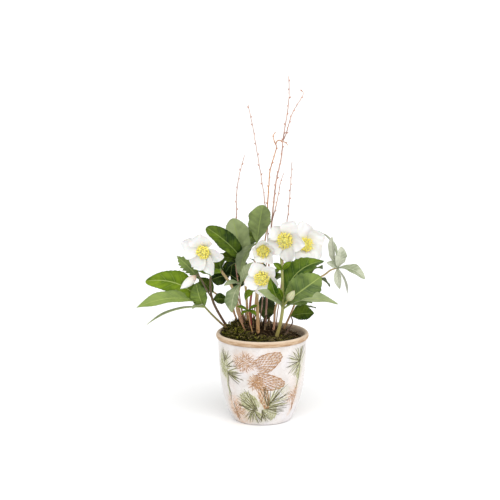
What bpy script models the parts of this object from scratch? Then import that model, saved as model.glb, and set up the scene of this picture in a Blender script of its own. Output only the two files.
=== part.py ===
import math
import random

import bmesh
import bpy
from mathutils import Vector

# A Christmas rose in a glazed pot, with birch twigs standing behind its flowers.
# Sizes and places are in millimetres, and mm() turns them into metres.
# The origin is the middle of the pot's flat foot. +Z is up and the flowers face -Y.

# Driving sizes of the pot
POT_HEIGHT = 144
RIM_RADIUS = 75
RIM_DROP = 12
FOOT_RADIUS = 47
WALL_THICKNESS = 5
FLOOR_THICKNESS = 8
SIDE_TOP_RADIUS = 72
SIDE_SWELL = ((58, 28), (69, 30))
RIM_BEAD = 3.5
POT_STEPS = 30
SIDE_STEPS = 6

# The soil is level at the wall and heaped at the crown of the plant
SOIL_LEVEL = 131
HEAP_HEIGHT = 20
HEAP_CENTRE = (-12, 22)
HEAP_SPREAD = 34
SOIL_CRUMB = 1.2
ROOT_DEPTH = 16
ROOT_LEAD = 10
GAP = 0.3
HOLE_CLEARANCE = 0.6
HOLE_REACH = 30

# The moss lies round the soil's edge from its left back to its right front, in degrees
MOSS_START = 112
MOSS_END = 322
MOSS_INSIDE = 36
MOSS_OUTSIDE = 63
MOSS_HEIGHT = 6
MOSS_EDGE = 1

# Leaves and tepals are as thin as a solid may be, and a little stiffer than the real ones
LEAF_THICKNESS = 0.8
LEAF_FOLD = 14
LEAF_RIPPLE = 1.2
LEAF_FOOT = 1.3
LEAF_TIP = 1.0
LEAF_TOOTH = 1.1
PETAL_THICKNESS = 0.8
PETAL_COUNT = 5
PETAL_CELLS = 4
PETAL_BREADTH = 0.46
PETAL_SPOON = 0.32
PETAL_TWIST = 0.22
SEAT_FOOT = 2.6
SEAT_TOP = 4.6
SEAT_HEIGHT = 3
SEAT_DROP = 1.1
STAMEN_COUNT = 8
BUD_LEAD = 5
THICK_STALK = 1.8
PATH_STEPS = 2

FINISHES = {
    "glaze": ((0.83, 0.79, 0.74), 0.35),
    "soil": ((0.06, 0.035, 0.02), 0.95),
    "moss": ((0.13, 0.18, 0.03), 0.95),
    "leaf_deep": ((0.05, 0.11, 0.03), 0.45),
    "leaf_bright": ((0.14, 0.27, 0.05), 0.45),
    "leaf_grey": ((0.25, 0.33, 0.22), 0.55),
    "stalk_olive": ((0.26, 0.24, 0.10), 0.5),
    "stalk_tan": ((0.50, 0.32, 0.18), 0.5),
    "stalk_brown": ((0.16, 0.09, 0.05), 0.5),
    "stalk_pale": ((0.42, 0.47, 0.20), 0.5),
    "petal_white": ((0.90, 0.89, 0.86), 0.5),
    "stamen_yellow": ((0.80, 0.66, 0.12), 0.6),
    "twig_bark": ((0.38, 0.20, 0.12), 0.6),
}

# Each leaf: where its stalk leaves the soil, the stalk's way up to the hub, and its leaflets.
# A leaflet runs from the hub to its tip; rise bows it up, face is where its upper side looks.
LEAVES = {
    "leaf_left": dict(
        stalk="stalk_olive", blade="leaf_bright", thick=(2.1, 1.5),
        path=[(-46, 12, 139), (-64, 5, 154), (-80, -2, 171), (-93, -13, 188)],
        leaflets=[
            dict(tip=(-187, -18, 231), width=30, rise=13, face=(0.1, -0.7, 0.7)),
            dict(tip=(-199, -60, 197), width=27, rise=17, face=(0.0, -0.5, 0.86)),
            dict(tip=(-184, -56, 168), width=13, rise=10, face=(-0.1, 0.1, 1.0)),
            dict(tip=(-106, -12, 226), width=20, rise=4, face=(-0.4, -0.9, 0.2)),
            dict(tip=(-111, -50, 193), width=13, rise=4, face=(-0.3, -0.3, 0.9)),
        ]),
    "leaf_under": dict(
        stalk="stalk_tan", blade="leaf_deep", thick=(2.7, 2.2),
        path=[(-30, 14, 147), (-41, 22, 185), (-49, 25, 212), (-68, 20, 242)],
        leaflets=[
            dict(tip=(-98, 12, 247), width=20, rise=4, face=(-0.2, -0.7, 0.7)),
            dict(tip=(-106, 38, 264), width=24, rise=6, face=(-0.2, -0.3, 0.9)),
            dict(tip=(-80, 66, 262), width=26, rise=8, face=(0.1, 0.3, 0.9)),
        ]),
    "leaf_small": dict(
        stalk="stalk_tan", blade="leaf_deep", thick=(1.8, 1.4),
        path=[(-37, 42, 143), (-50, 46, 171), (-65, 40, 190), (-80, 27, 204)],
        leaflets=[
            dict(tip=(-102, 8, 232), width=20, rise=4, face=(-0.2, -0.9, 0.4)),
            dict(tip=(-114, 26, 206), width=18, rise=7, face=(-0.1, 0.1, 1.0)),
            dict(tip=(-112, 56, 202), width=22, rise=8, face=(0.0, 0.3, 0.9)),
        ]),
    "leaf_shade": dict(
        stalk="stalk_tan", blade="leaf_deep", thick=(1.6, 1.3),
        path=[(-26, 50, 143), (-36, 58, 175), (-46, 60, 205), (-52, 58, 226)],
        leaflets=[
            dict(tip=(-84, 56, 218), width=24, rise=4, face=(-0.2, -0.8, 0.5)),
            dict(tip=(-30, 54, 210), width=26, rise=2, face=(0.1, -0.9, 0.4)),
            dict(tip=(-48, 52, 254), width=28, rise=4, face=(0.0, -0.9, 0.4)),
            dict(tip=(-74, 108, 222), width=30, rise=9, face=(0.0, 0.3, 0.9)),
            dict(tip=(-30, 116, 226), width=28, rise=9, face=(0.1, 0.4, 0.9)),
        ]),
    "leaf_upper": dict(
        stalk="stalk_tan", blade="leaf_deep", thick=(2.3, 1.9),
        path=[(-24, 24, 149), (-25, 25, 180), (-27, 25, 210), (-31, 20, 252)],
        leaflets=[
            dict(tip=(-90, 0, 315), width=31, rise=12, face=(-0.3, -0.6, 0.7)),
            dict(tip=(-48, 24, 326), width=40, rise=5, face=(0.1, -0.9, 0.3)),
            dict(tip=(-71, 4, 265), width=22, rise=6, face=(-0.1, -0.6, 0.8)),
            dict(tip=(-59, 12, 240), width=16, rise=8, face=(-0.4, -0.1, 0.9)),
            dict(tip=(-14, 88, 288), width=25, rise=9, face=(0.0, 0.1, 1.0)),
        ]),
    "leaf_centre": dict(
        stalk="stalk_tan", blade="leaf_deep", thick=(2.2, 1.8),
        path=[(-19, 8, 150), (-20, 9, 184), (-16, 11, 220), (-9, 16, 287)],
        leaflets=[
            dict(tip=(1, 30, 347), width=38, rise=4, face=(-0.2, -0.9, 0.3)),
            dict(tip=(-34, -13, 236), width=22, rise=13, face=(-0.8, -0.5, 0.4)),
            dict(tip=(-24, 60, 304), width=28, rise=6, face=(0.1, -0.2, 1.0)),
        ]),
    "leaf_front": dict(
        stalk="stalk_tan", blade="leaf_grey", thick=(1.5, 1.2),
        path=[(-28, -2, 146), (-37, -8, 168), (-42, -16, 190), (-35, -25, 229)],
        leaflets=[
            dict(tip=(-49, -50, 187), width=18, rise=8, face=(-0.8, -0.5, 0.3)),
            dict(tip=(-15, -36, 265), width=18, rise=4, face=(-0.3, -0.8, 0.5)),
            dict(tip=(-62, -30, 226), width=12, rise=4, face=(-0.2, -0.4, 0.9)),
        ]),
    "leaf_young": dict(
        stalk="stalk_tan", blade="leaf_bright", thick=(1.1, 0.9),
        path=[(-16, -10, 145), (-20, -10, 160), (-23, -11, 181)],
        leaflets=[
            dict(tip=(-41, -20, 190), width=8, rise=2, face=(0.0, -0.5, 0.9)),
            dict(tip=(-8, -22, 192), width=8, rise=2, face=(0.0, -0.6, 0.8)),
            dict(tip=(-10, -22, 176), width=9, rise=3, face=(0.0, -0.5, 0.9)),
            dict(tip=(-34, -26, 178), width=8, rise=2, face=(-0.1, -0.5, 0.9)),
        ]),
    "leaf_round": dict(
        stalk="stalk_tan", blade="leaf_deep", thick=(1.3, 1.1),
        path=[(-40, 36, 142), (-45, 37, 165), (-50, 35, 184), (-57, 31, 191)],
        leaflets=[
            dict(tip=(-80, 20, 193), width=18, rise=3, face=(-0.1, -0.9, 0.4)),
        ]),
    "leaf_back": dict(
        stalk="stalk_tan", blade="leaf_deep", thick=(2.1, 1.7),
        path=[(10, 48, 138), (12, 56, 165), (12, 58, 190), (9, 54, 206)],
        leaflets=[
            dict(tip=(7, 51, 152), width=24, rise=5, face=(-0.1, -1.0, 0.1)),
            dict(tip=(60, 84, 222), width=30, rise=8, face=(0.1, 0.2, 1.0)),
            dict(tip=(22, 124, 222), width=32, rise=10, face=(0.0, 0.4, 0.9)),
            dict(tip=(-20, 100, 246), width=30, rise=8, face=(0.0, 0.5, 0.8)),
        ]),
    "leaf_right_back": dict(
        stalk="stalk_tan", blade="leaf_deep", thick=(1.9, 1.5),
        path=[(34, 40, 135), (48, 46, 165), (60, 50, 195), (72, 52, 218)],
        leaflets=[
            dict(tip=(112, 60, 206), width=26, rise=9, face=(0.1, 0.1, 1.0)),
            dict(tip=(100, 92, 230), width=28, rise=9, face=(0.1, 0.3, 0.9)),
            dict(tip=(60, 100, 262), width=26, rise=8, face=(0.0, 0.5, 0.8)),
        ]),
    "leaf_low_right": dict(
        stalk="stalk_brown", blade="leaf_deep", thick=(1.3, 1.0),
        path=[(36, -1, 135), (43, 4, 148), (49, 6, 158), (46, 0, 170)],
        leaflets=[
            dict(tip=(83, -12, 177), width=26, rise=4, face=(0.0, -0.8, 0.6)),
            dict(tip=(88, 30, 176), width=22, rise=8, face=(0.1, 0.1, 1.0)),
        ]),
    "sprig_right": dict(
        stalk="stalk_brown", blade="leaf_grey", thick=(2.0, 1.3),
        path=[(18, 8, 143), (23, 13, 186), (45, 18, 209), (94, 20, 230), (110, 16, 242),
              (121, 11, 247)],
        leaflets=[
            dict(tip=(112, 20, 297), width=15, rise=4, face=(-0.8, -0.5, 0.2)),
            dict(tip=(126, -6, 285), width=21, rise=3, face=(0.3, -0.9, 0.2)),
            dict(tip=(165, 0, 231), width=20, rise=9, face=(0.1, -0.5, 0.9)),
            dict(tip=(124, -12, 217), width=12, rise=5, face=(-0.3, -0.9, 0.3)),
            dict(tip=(138, 14, 204), width=8, rise=4, face=(0.8, 0.4, 0.3)),
            dict(tip=(92, 50, 301), width=12, rise=12, face=(0.7, -0.2, 0.6)),
            dict(tip=(103, -2, 258), width=12, rise=3, face=(-0.2, -0.8, 0.6)),
        ]),
}

# Each bloom: the stem's way up from the soil, the green bracts on it, and the flower
BLOOMS = {
    "bloom_1": dict(
        stem="stalk_brown", thick=(2.3, 1.6),
        path=[(-47, 25, 138), (-62, 22, 154), (-79, 13, 188), (-84, 4, 215), (-83, -4, 245),
              (-82, -12, 268), (-86, -29, 283)],
        bracts=[
            dict(base=(-98, -14, 231), tip=(-138, 5, 268), width=24, rise=4, face=(0.1, -0.9, 0.5)),
            dict(base=(-84, -3, 238), tip=(-108, -22, 251), width=14, rise=4, face=(-0.1, -0.7, 0.7)),
            dict(base=(-84, -3, 236), tip=(-66, -24, 246), width=12, rise=4, face=(0.1, -0.6, 0.8)),
        ],
        centre=(-90, -37, 285), facing=(-0.42, -0.88, -0.22), turn=-7, radius=36, cup=(55, 8), spread=45),
    "bloom_2": dict(
        stem="stalk_tan", thick=(2.0, 1.6),
        path=[(-8, 8, 149), (-8, 6, 195), (-5, 2, 235), (1, -1, 262), (3, -8, 278)],
        bracts=[],
        centre=(1, -20, 282), facing=(-0.05, -0.98, -0.08), turn=0, radius=24, cup=(68, 44), spread=26),
    "bloom_3": dict(
        stem="stalk_tan", thick=(3.1, 2.1),
        path=[(-7, -9, 141), (-8, -9, 175), (-9, -11, 207), (-8, -20, 232), (-4, -31, 241)],
        bracts=[
            dict(base=(-9, -13, 214), tip=(-28, -34, 204), width=14, rise=6, face=(-0.3, -0.4, 0.9)),
        ],
        centre=(0, -44, 243), facing=(-0.15, -0.97, -0.12), turn=34, radius=30, cup=(58, 15), spread=40),
    "bloom_4": dict(
        stem="stalk_pale", thick=(3.0, 1.8),
        path=[(22, -22, 138), (28, -27, 162), (32, -33, 190), (32, -28, 222), (31, -18, 250),
              (30, -4, 275), (34, 2, 293)],
        bracts=[
            dict(base=(33, -31, 203), tip=(98, -5, 262), width=40, rise=8, face=(-0.3, -0.5, 0.8)),
            dict(base=(33, -33, 197), tip=(92, -40, 243), width=46, rise=5, face=(0.1, -0.9, 0.3)),
            dict(base=(33, -34, 190), tip=(118, -60, 203), width=24, rise=15, face=(0.0, -0.4, 0.9)),
            dict(base=(31, -34, 200), tip=(12, -76, 248), width=21, rise=9, face=(-0.3, -0.9, 0.0)),
            dict(base=(31, -34, 193), tip=(-8, -79, 229), width=18, rise=8, face=(0.0, -0.8, 0.6)),
            dict(base=(32, -33, 205), tip=(25, -52, 228), width=9, rise=2, face=(-0.2, -0.9, 0.4)),
            dict(base=(31, -19, 248), tip=(46, -24, 264), width=10, rise=3, face=(0.0, -0.8, 0.6)),
            dict(base=(31, -19, 248), tip=(17, -26, 262), width=10, rise=3, face=(0.0, -0.8, 0.6)),
        ],
        centre=(38, -6, 296), facing=(-0.3, -0.94, 0.05), turn=-27, radius=33, cup=(50, 6), spread=45),
    "bloom_5": dict(
        stem="stalk_pale", thick=(2.0, 1.6),
        path=[(27, 25, 138), (34, 31, 175), (44, 35, 205), (56, 37, 242), (63, 38, 268)],
        bracts=[],
        centre=(68, 27, 281), facing=(0.22, -0.88, 0.3), turn=5, radius=36, cup=(50, 10), spread=42),
}

# Each bud stands just off the end of a short branch of a bloom's stem
BUDS = {
    "bud_left": dict(
        stem="bloom_1", path=[(-81, 10, 196), (-90, -3, 214), (-98, -14, 233)],
        base=(-107, -28, 241), tip=(-130, -55, 226), radius=7.5),
    "bud_right": dict(
        stem="bloom_4", path=[(32, -33, 196), (35, -41, 198)],
        base=(39, -48, 206), tip=(50, -57, 224), radius=6.5),
}

# Twigs: each way up from the soil, side branches, and the places of small buds along them
TWIGS = {
    "twig_left": dict(
        thick=(1.2, 0.6),
        path=[(-30, 42, 147), (-38, 42, 200), (-44, 42, 262), (-42, 40, 331), (-42, 38, 360),
              (-38, 37, 392), (-29, 35, 427)],
        branches=[], buds=(0.62, 0.78, 0.86, 0.94)),
    "twig_pale": dict(
        thick=(1.1, 0.6),
        path=[(-4, 33, 149), (4, 35, 225), (9, 36, 297), (3, 36, 357), (-5, 34, 410),
              (-15, 30, 469), (-23, 30, 509)],
        branches=[], buds=(0.7, 0.8, 0.97)),
    "twig_main": dict(
        thick=(1.7, 0.6),
        path=[(5, 25, 146), (9, 28, 220), (13, 30, 289), (19, 30, 358), (23, 30, 390),
              (30, 28, 423), (34, 26, 463), (39, 24, 493), (42, 22, 524), (41, 20, 555)],
        branches=[
            [(33, 26, 452), (38, 22, 464), (46, 14, 494), (57, 12, 514), (64, 10, 528), (60, 10, 535)],
            [(16, 29, 322), (21, 24, 343), (25, 22, 362), (29, 20, 385), (34, 20, 400)],
        ],
        buds=(0.5, 0.6, 0.7, 0.8, 0.92)),
    "twig_curled": dict(
        thick=(1.2, 0.7),
        path=[(-16, 46, 145), (-6, 46, 225), (6, 44, 296), (9, 42, 353), (11, 43, 386),
              (13, 44, 404), (22, 45, 436), (20, 42, 447), (17, 40, 457), (21, 40, 464)],
        branches=[[(21, 44, 444), (25, 42, 450), (31, 38, 450), (37, 36, 447), (41, 34, 443)]],
        buds=(0.58, 0.68, 0.76, 0.84)),
    "twig_right": dict(
        thick=(1.1, 0.6),
        path=[(22, 38, 139), (31, 45, 215), (37, 49, 286), (43, 50, 340), (45, 50, 366),
              (47, 50, 391), (48, 50, 414)],
        branches=[], buds=(0.66, 0.8, 0.9)),
}


def mm(value):
    """Turn a number or a place from millimetres into metres."""
    if isinstance(value, (int, float)):
        return value * 0.001
    return Vector(value) * 0.001


def clear_scene():
    for item in list(bpy.data.objects):
        bpy.data.objects.remove(item, do_unlink=True)


def make_collection(name):
    collection = bpy.data.collections.new(name)
    bpy.context.scene.collection.children.link(collection)
    return collection


def make_finish(name):
    colour, roughness = FINISHES[name]
    finish = bpy.data.materials.get(name)
    if finish is None:
        finish = bpy.data.materials.new(name)
        finish.use_nodes = True
        shader = finish.node_tree.nodes["Principled BSDF"]
        shader.inputs["Base Color"].default_value = (*colour, 1)
        shader.inputs["Roughness"].default_value = roughness
        shader.inputs["Metallic"].default_value = 0
    return finish


def add_object(name, data, collection, finish=None):
    item = bpy.data.objects.new(name, data)
    collection.objects.link(item)
    if finish:
        data.materials.clear()
        data.materials.append(make_finish(finish))
    return item


def mesh_object(name, bm, collection, finish=None):
    mesh = bpy.data.meshes.new(name)
    bm.to_mesh(mesh)
    bm.free()
    return add_object(name, mesh, collection, finish)


def baked_mesh(item, name):
    """The object's evaluated mesh in world places, with the object itself removed."""
    bpy.context.view_layer.update()
    evaluated = item.evaluated_get(bpy.context.evaluated_depsgraph_get())
    mesh = bpy.data.meshes.new_from_object(evaluated)
    mesh.name = name
    mesh.transform(item.matrix_world)
    bpy.data.objects.remove(item, do_unlink=True)
    return mesh


def is_closed(mesh):
    bm = bmesh.new()
    bm.from_mesh(mesh)
    closed = all(edge.is_manifold for edge in bm.edges)
    bm.free()
    return closed


def fuse(name, pieces, collection):
    """Join closed pieces that cross into one body, each keeping its own finish."""
    first, others = pieces[0], pieces[1:]
    group = make_collection(name + "_pieces")
    for piece in others:
        collection.objects.unlink(piece)
        group.objects.link(piece)
    for solver in ("EXACT", "MANIFOLD"):
        trial = first.copy()
        collection.objects.link(trial)
        union = trial.modifiers.new("union", "BOOLEAN")
        union.operation = "UNION"
        union.operand_type = "COLLECTION"
        union.collection = group
        union.solver = solver
        union.material_mode = "TRANSFER"
        mesh = baked_mesh(trial, name)
        if is_closed(mesh):
            break
    for piece in pieces:
        bpy.data.objects.remove(piece, do_unlink=True)
    bpy.data.collections.remove(group)
    return add_object(name, mesh, collection)


def smooth_path(points):
    """Points on a smooth curve through the given ones (Catmull-Rom)."""
    points = [mm(point) for point in points]
    ends = [2 * points[0] - points[1]] + points + [2 * points[-1] - points[-2]]
    path = []
    for before, start, end, after in zip(ends, ends[1:], ends[2:], ends[3:]):
        for step in range(PATH_STEPS):
            t = step / PATH_STEPS
            path.append(0.5 * (2 * start + (end - before) * t
                               + (2 * before - 5 * start + 4 * end - after) * t ** 2
                               + (3 * start - before - 3 * end + after) * t ** 3))
    path.append(points[-1])
    return path


def tube(name, path, thick, collection, finish):
    """A tapering round stalk along a path, thick=(radius at the foot, radius at the top)."""
    curve = bpy.data.curves.new(name, "CURVE")
    curve.dimensions = "3D"
    curve.bevel_depth = mm(1)
    curve.bevel_resolution = 1 if thick[0] > THICK_STALK else 0
    curve.use_fill_caps = True
    spline = curve.splines.new("POLY")
    spline.points.add(len(path) - 1)
    for index, place in enumerate(path):
        share = index / (len(path) - 1)
        spline.points[index].co = (*place, 1)
        spline.points[index].radius = thick[0] + (thick[1] - thick[0]) * share
    return add_object(name, curve, collection, finish)


def tube_mesh(name, path, thick, collection, finish):
    """The same stalk as a mesh with its caps welded on, so that it can be joined to others."""
    mesh = baked_mesh(tube(name, path, thick, collection, finish), name)
    bm = bmesh.new()
    bm.from_mesh(mesh)
    bmesh.ops.remove_doubles(bm, verts=bm.verts, dist=mm(0.001))
    bm.to_mesh(mesh)
    bm.free()
    return add_object(name, mesh, collection)


def rooted_path(points):
    """A stalk's path, straight from below the soil until it is clear of the moss."""
    foot = Vector(points[0])
    lean = (Vector(points[1]) - foot).normalized()
    return [mm(foot - lean * ROOT_DEPTH)] + smooth_path([foot + lean * ROOT_LEAD] + list(points[1:]))


def make_hole(name, points, radius, cutters):
    """A round cutter along the lowest stretch of a stalk, a little wider and deeper than it."""
    foot = Vector(points[0])
    lean = (Vector(points[1]) - foot).normalized()
    low = foot - lean * (ROOT_DEPTH + GAP)
    high = foot + lean * HOLE_REACH
    bm = bmesh.new()
    bmesh.ops.create_cone(bm, cap_ends=True, segments=6, radius1=mm(radius + HOLE_CLEARANCE),
                          radius2=mm(radius + HOLE_CLEARANCE), depth=mm((high - low).length))
    hole = mesh_object(name, bm, cutters)
    hole.location = mm((low + high) / 2)
    hole.rotation_euler = lean.to_track_quat("Z", "Y").to_euler()
    hole.display_type = "WIRE"
    hole.hide_render = True
    return hole


def make_blade(name, collection, finish, base, tip, width, rise, face):
    """One leaflet: a strip folded along its midrib, widest past the middle, with a toothed edge."""
    base, tip = mm(base), mm(tip)
    axis = tip - base
    face = Vector(face)
    up = (face - axis * face.dot(axis) / axis.dot(axis)).normalized()
    side = axis.cross(up).normalized()
    along = max(3, min(7, round(axis.length / mm(11.5))))
    bm = bmesh.new()
    bmesh.ops.create_grid(bm, x_segments=along, y_segments=2, size=0.5)
    for vert in bm.verts:
        station = round((vert.co.x + 0.5) * along)
        t = 1 - (1 - station / along) ** 1.25
        edge = vert.co.y * 2
        half = mm(width) / 2 * math.sin(math.pi * t ** 1.4) ** 0.7 if 0 < station < along else 0
        if station % 2 and t > 0.45:
            half *= LEAF_TOOTH
        half = max(half, mm(LEAF_FOOT) if t < 0.5 else mm(LEAF_TIP))
        bow = mm(rise) * 4 * t * (1 - t)
        lift = half * abs(edge) * math.tan(math.radians(LEAF_FOLD))
        wave = mm(LEAF_RIPPLE) * math.sin(7 * t) * edge * half / mm(width)
        vert.co = base + axis * t + up * (bow + lift + wave) + side * half * edge
    bmesh.ops.triangulate(bm, faces=bm.faces[:])
    bmesh.ops.solidify(bm, geom=bm.faces[:], thickness=mm(LEAF_THICKNESS))
    bmesh.ops.recalc_face_normals(bm, faces=bm.faces[:])
    return mesh_object(name, bm, collection, finish)


def make_knob(name, place, radius, collection, finish):
    bm = bmesh.new()
    bmesh.ops.create_icosphere(bm, subdivisions=1, radius=mm(radius))
    bmesh.ops.translate(bm, verts=bm.verts, vec=mm(place))
    return mesh_object(name, bm, collection, finish)


def make_pot(collection):
    """A turned pot with a curved side, a round bead for a rim and a flat floor; returns its inner wall."""
    top = (SIDE_TOP_RADIUS, POT_HEIGHT - RIM_DROP)
    corners = [Vector(point) for point in ((FOOT_RADIUS, 0), *SIDE_SWELL, top)]
    bead = Vector((RIM_RADIUS - RIM_BEAD, POT_HEIGHT - RIM_DROP / 2))

    def side(t, inset=0.0):
        weights = ((1 - t) ** 3, 3 * t * (1 - t) ** 2, 3 * t * t * (1 - t), t ** 3)
        place = sum((corner * weight for corner, weight in zip(corners, weights)), Vector((0, 0)))
        return place - Vector((inset, 0))

    outer = [side(0.02)] + [side(step / SIDE_STEPS) for step in range(1, SIDE_STEPS + 1)]
    rim = []
    for angle in range(-60, 211, 45):
        turn = math.radians(angle)
        rim.append(bead + Vector((RIM_BEAD * math.cos(turn), RIM_DROP / 2 * math.sin(turn))))
    inner = [side(t, WALL_THICKNESS) for t in (0.9, 0.5, 0.18)]
    floor = [Vector((inner[-1].x - 6, FLOOR_THICKNESS)), Vector((0, FLOOR_THICKNESS))]
    profile = [Vector((0, 0)), Vector((FOOT_RADIUS - 3, 0))] + outer + rim + inner + floor
    turned("pot", profile[::-1], collection, "glaze")
    return inner


def turned(name, profile, collection, finish):
    """Spin a radius and height profile, given from the top centre to the bottom centre."""
    bm = bmesh.new()
    verts = [bm.verts.new((mm(point[0]), 0, mm(point[1]))) for point in profile]
    for start, end in zip(verts, verts[1:]):
        bm.edges.new((start, end))
    item = mesh_object(name, bm, collection, finish)
    screw = item.modifiers.new("turn", "SCREW")
    screw.steps = POT_STEPS
    screw.render_steps = POT_STEPS
    screw.use_merge_vertices = True
    screw.merge_threshold = 0.00005
    return item


def cut_holes(item, cutters):
    cut = item.modifiers.new("holes", "BOOLEAN")
    cut.operation = "DIFFERENCE"
    cut.operand_type = "COLLECTION"
    cut.collection = cutters
    cut.solver = "EXACT"


def heap(x, y):
    """Height in millimetres of the soil's surface at a place in plan."""
    away = (x - HEAP_CENTRE[0]) ** 2 + (y - HEAP_CENTRE[1]) ** 2
    return SOIL_LEVEL + HEAP_HEIGHT * math.exp(-away / (2 * HEAP_SPREAD ** 2))


def make_soil(inner, collection, cutters):
    """Soil that fills the pot, heaped at the crown, with a plain hole for every stem."""
    draw = random.Random(7)
    wall = [point - Vector((GAP + 0.4, 0)) for point in inner]
    top_radius = wall[0].x
    rings = [Vector((top_radius * share, SOIL_LEVEL)) for share in (0, 0.28, 0.52, 0.76)]
    rings.append(Vector((top_radius, SOIL_LEVEL - 2)))
    bottom = FLOOR_THICKNESS + GAP
    low = [Vector((wall[-1].x - 6, bottom)), Vector((0, bottom))]
    soil = turned("soil", rings + wall[1:] + low, collection, "soil")
    mesh = baked_mesh(soil, "soil")
    for vert in mesh.vertices:
        x, y, z = vert.co * 1000
        if z > SOIL_LEVEL - 1:
            vert.co.z = mm(heap(x, y) + draw.uniform(-SOIL_CRUMB, SOIL_CRUMB))
    cut_holes(add_object("soil", mesh, collection, "soil"), cutters)


def make_moss(collection, cutters):
    """A cushion of moss lying on the soil along the pot's left and front sides."""
    bm = bmesh.new()
    bmesh.ops.create_grid(bm, x_segments=18, y_segments=3, size=0.5)
    heights = []
    for vert in bm.verts:
        along, across = vert.co.x + 0.5, vert.co.y + 0.5
        angle = math.radians(MOSS_START + (MOSS_END - MOSS_START) * along)
        wander = 5 * math.sin(9 * along) * (1 - across)
        radius = MOSS_INSIDE + wander + (MOSS_OUTSIDE - MOSS_INSIDE) * across
        x, y = radius * math.cos(angle), radius * math.sin(angle)
        cushion = max(0, math.sin(math.pi * across) * math.sin(math.pi * along)) ** 0.6
        heights.append(mm(MOSS_EDGE + cushion * (MOSS_HEIGHT + 2 * math.sin(23 * along + 4 * across))))
        vert.co = mm((x, y, heap(x, y) + SOIL_CRUMB + 3 * GAP))
    bmesh.ops.triangulate(bm, faces=bm.faces[:])
    bottom = bm.verts[:]
    shell = bmesh.ops.extrude_face_region(bm, geom=bm.faces[:], use_keep_orig=True)
    tops = [piece for piece in shell["geom"] if isinstance(piece, bmesh.types.BMVert)]
    lifts = {tuple(vert.co): height for vert, height in zip(bottom, heights)}
    for vert in tops:
        vert.co.z += lifts[tuple(vert.co)]
    bmesh.ops.recalc_face_normals(bm, faces=bm.faces[:])
    cut_holes(mesh_object("moss", bm, collection, "moss"), cutters)


def make_leaf(name, leaf, collection, cutters):
    """A stalk standing in the soil, and the leaflets fused to one hub just above its end."""
    path = leaf["path"]
    hub = Vector(path[-1])
    arrive = (hub - Vector(path[-2])).normalized()
    knob = leaf["thick"][1] + 1.0
    stalk_path = list(path[:-1]) + [tuple(hub - arrive * (knob + GAP))]
    tube(name + "_stalk", rooted_path(stalk_path), leaf["thick"], collection, leaf["stalk"])
    make_hole(name + "_hole", path, leaf["thick"][0], cutters)
    pieces = [make_knob(name + "_hub", hub, knob, collection, leaf["blade"])]
    for number, leaflet in enumerate(leaf["leaflets"]):
        pieces.append(make_blade(f"{name}_{number}", collection, leaf["blade"], base=hub, **leaflet))
    fuse(name + "_blades", pieces, collection)


def make_bloom(name, bloom, collection, cutters):
    """A stem with its bracts, five tepals round a small seat, and the stamens on that seat."""
    facing = Vector(bloom["facing"]).normalized()
    centre = Vector(bloom["centre"])
    path = list(bloom["path"]) + [tuple(centre - facing * 8), tuple(centre - facing * (2.7 + GAP))]
    pieces = [tube_mesh(name + "_main", rooted_path(path), bloom["thick"], collection, bloom["stem"])]
    for bud_name, bud in BUDS.items():
        if bud["stem"] == name:
            base = Vector(bud["base"])
            way = (Vector(bud["tip"]) - base).normalized()
            branch = smooth_path(bud["path"] + [base - way * BUD_LEAD, base - way * GAP])
            thin = bloom["thick"][1]
            pieces.append(tube_mesh(bud_name + "_branch", branch, (thin, thin), collection, bloom["stem"]))
    for number, bract in enumerate(bloom["bracts"]):
        pieces.append(make_blade(f"{name}_bract_{number}", collection, "leaf_bright", **bract))
    fuse(name + "_stem", pieces, collection)
    make_hole(name + "_hole", path, bloom["thick"][0], cutters)
    make_petals(name, bloom, facing, collection)
    make_stamens(name, bloom, facing, collection)


def make_petals(name, bloom, facing, collection):
    frame = facing.to_track_quat("Z", "Y").to_matrix().to_4x4()
    frame.translation = mm(bloom["centre"])
    bm = bmesh.new()
    bmesh.ops.create_cone(bm, cap_ends=True, segments=10, radius1=mm(SEAT_FOOT), radius2=mm(SEAT_TOP),
                          depth=mm(SEAT_HEIGHT))
    bmesh.ops.translate(bm, verts=bm.verts, vec=(0, 0, mm(-SEAT_DROP)))
    bmesh.ops.transform(bm, matrix=frame, verts=bm.verts)
    pieces = [mesh_object(name + "_seat", bm, collection, "petal_white")]
    for number in range(PETAL_COUNT):
        turn = math.radians(bloom["turn"] + 90 + number * 360 / PETAL_COUNT)
        pieces.append(make_petal(f"{name}_petal_{number}", bloom, frame, turn, collection))
    fuse(name + "_petals", pieces, collection)


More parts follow.
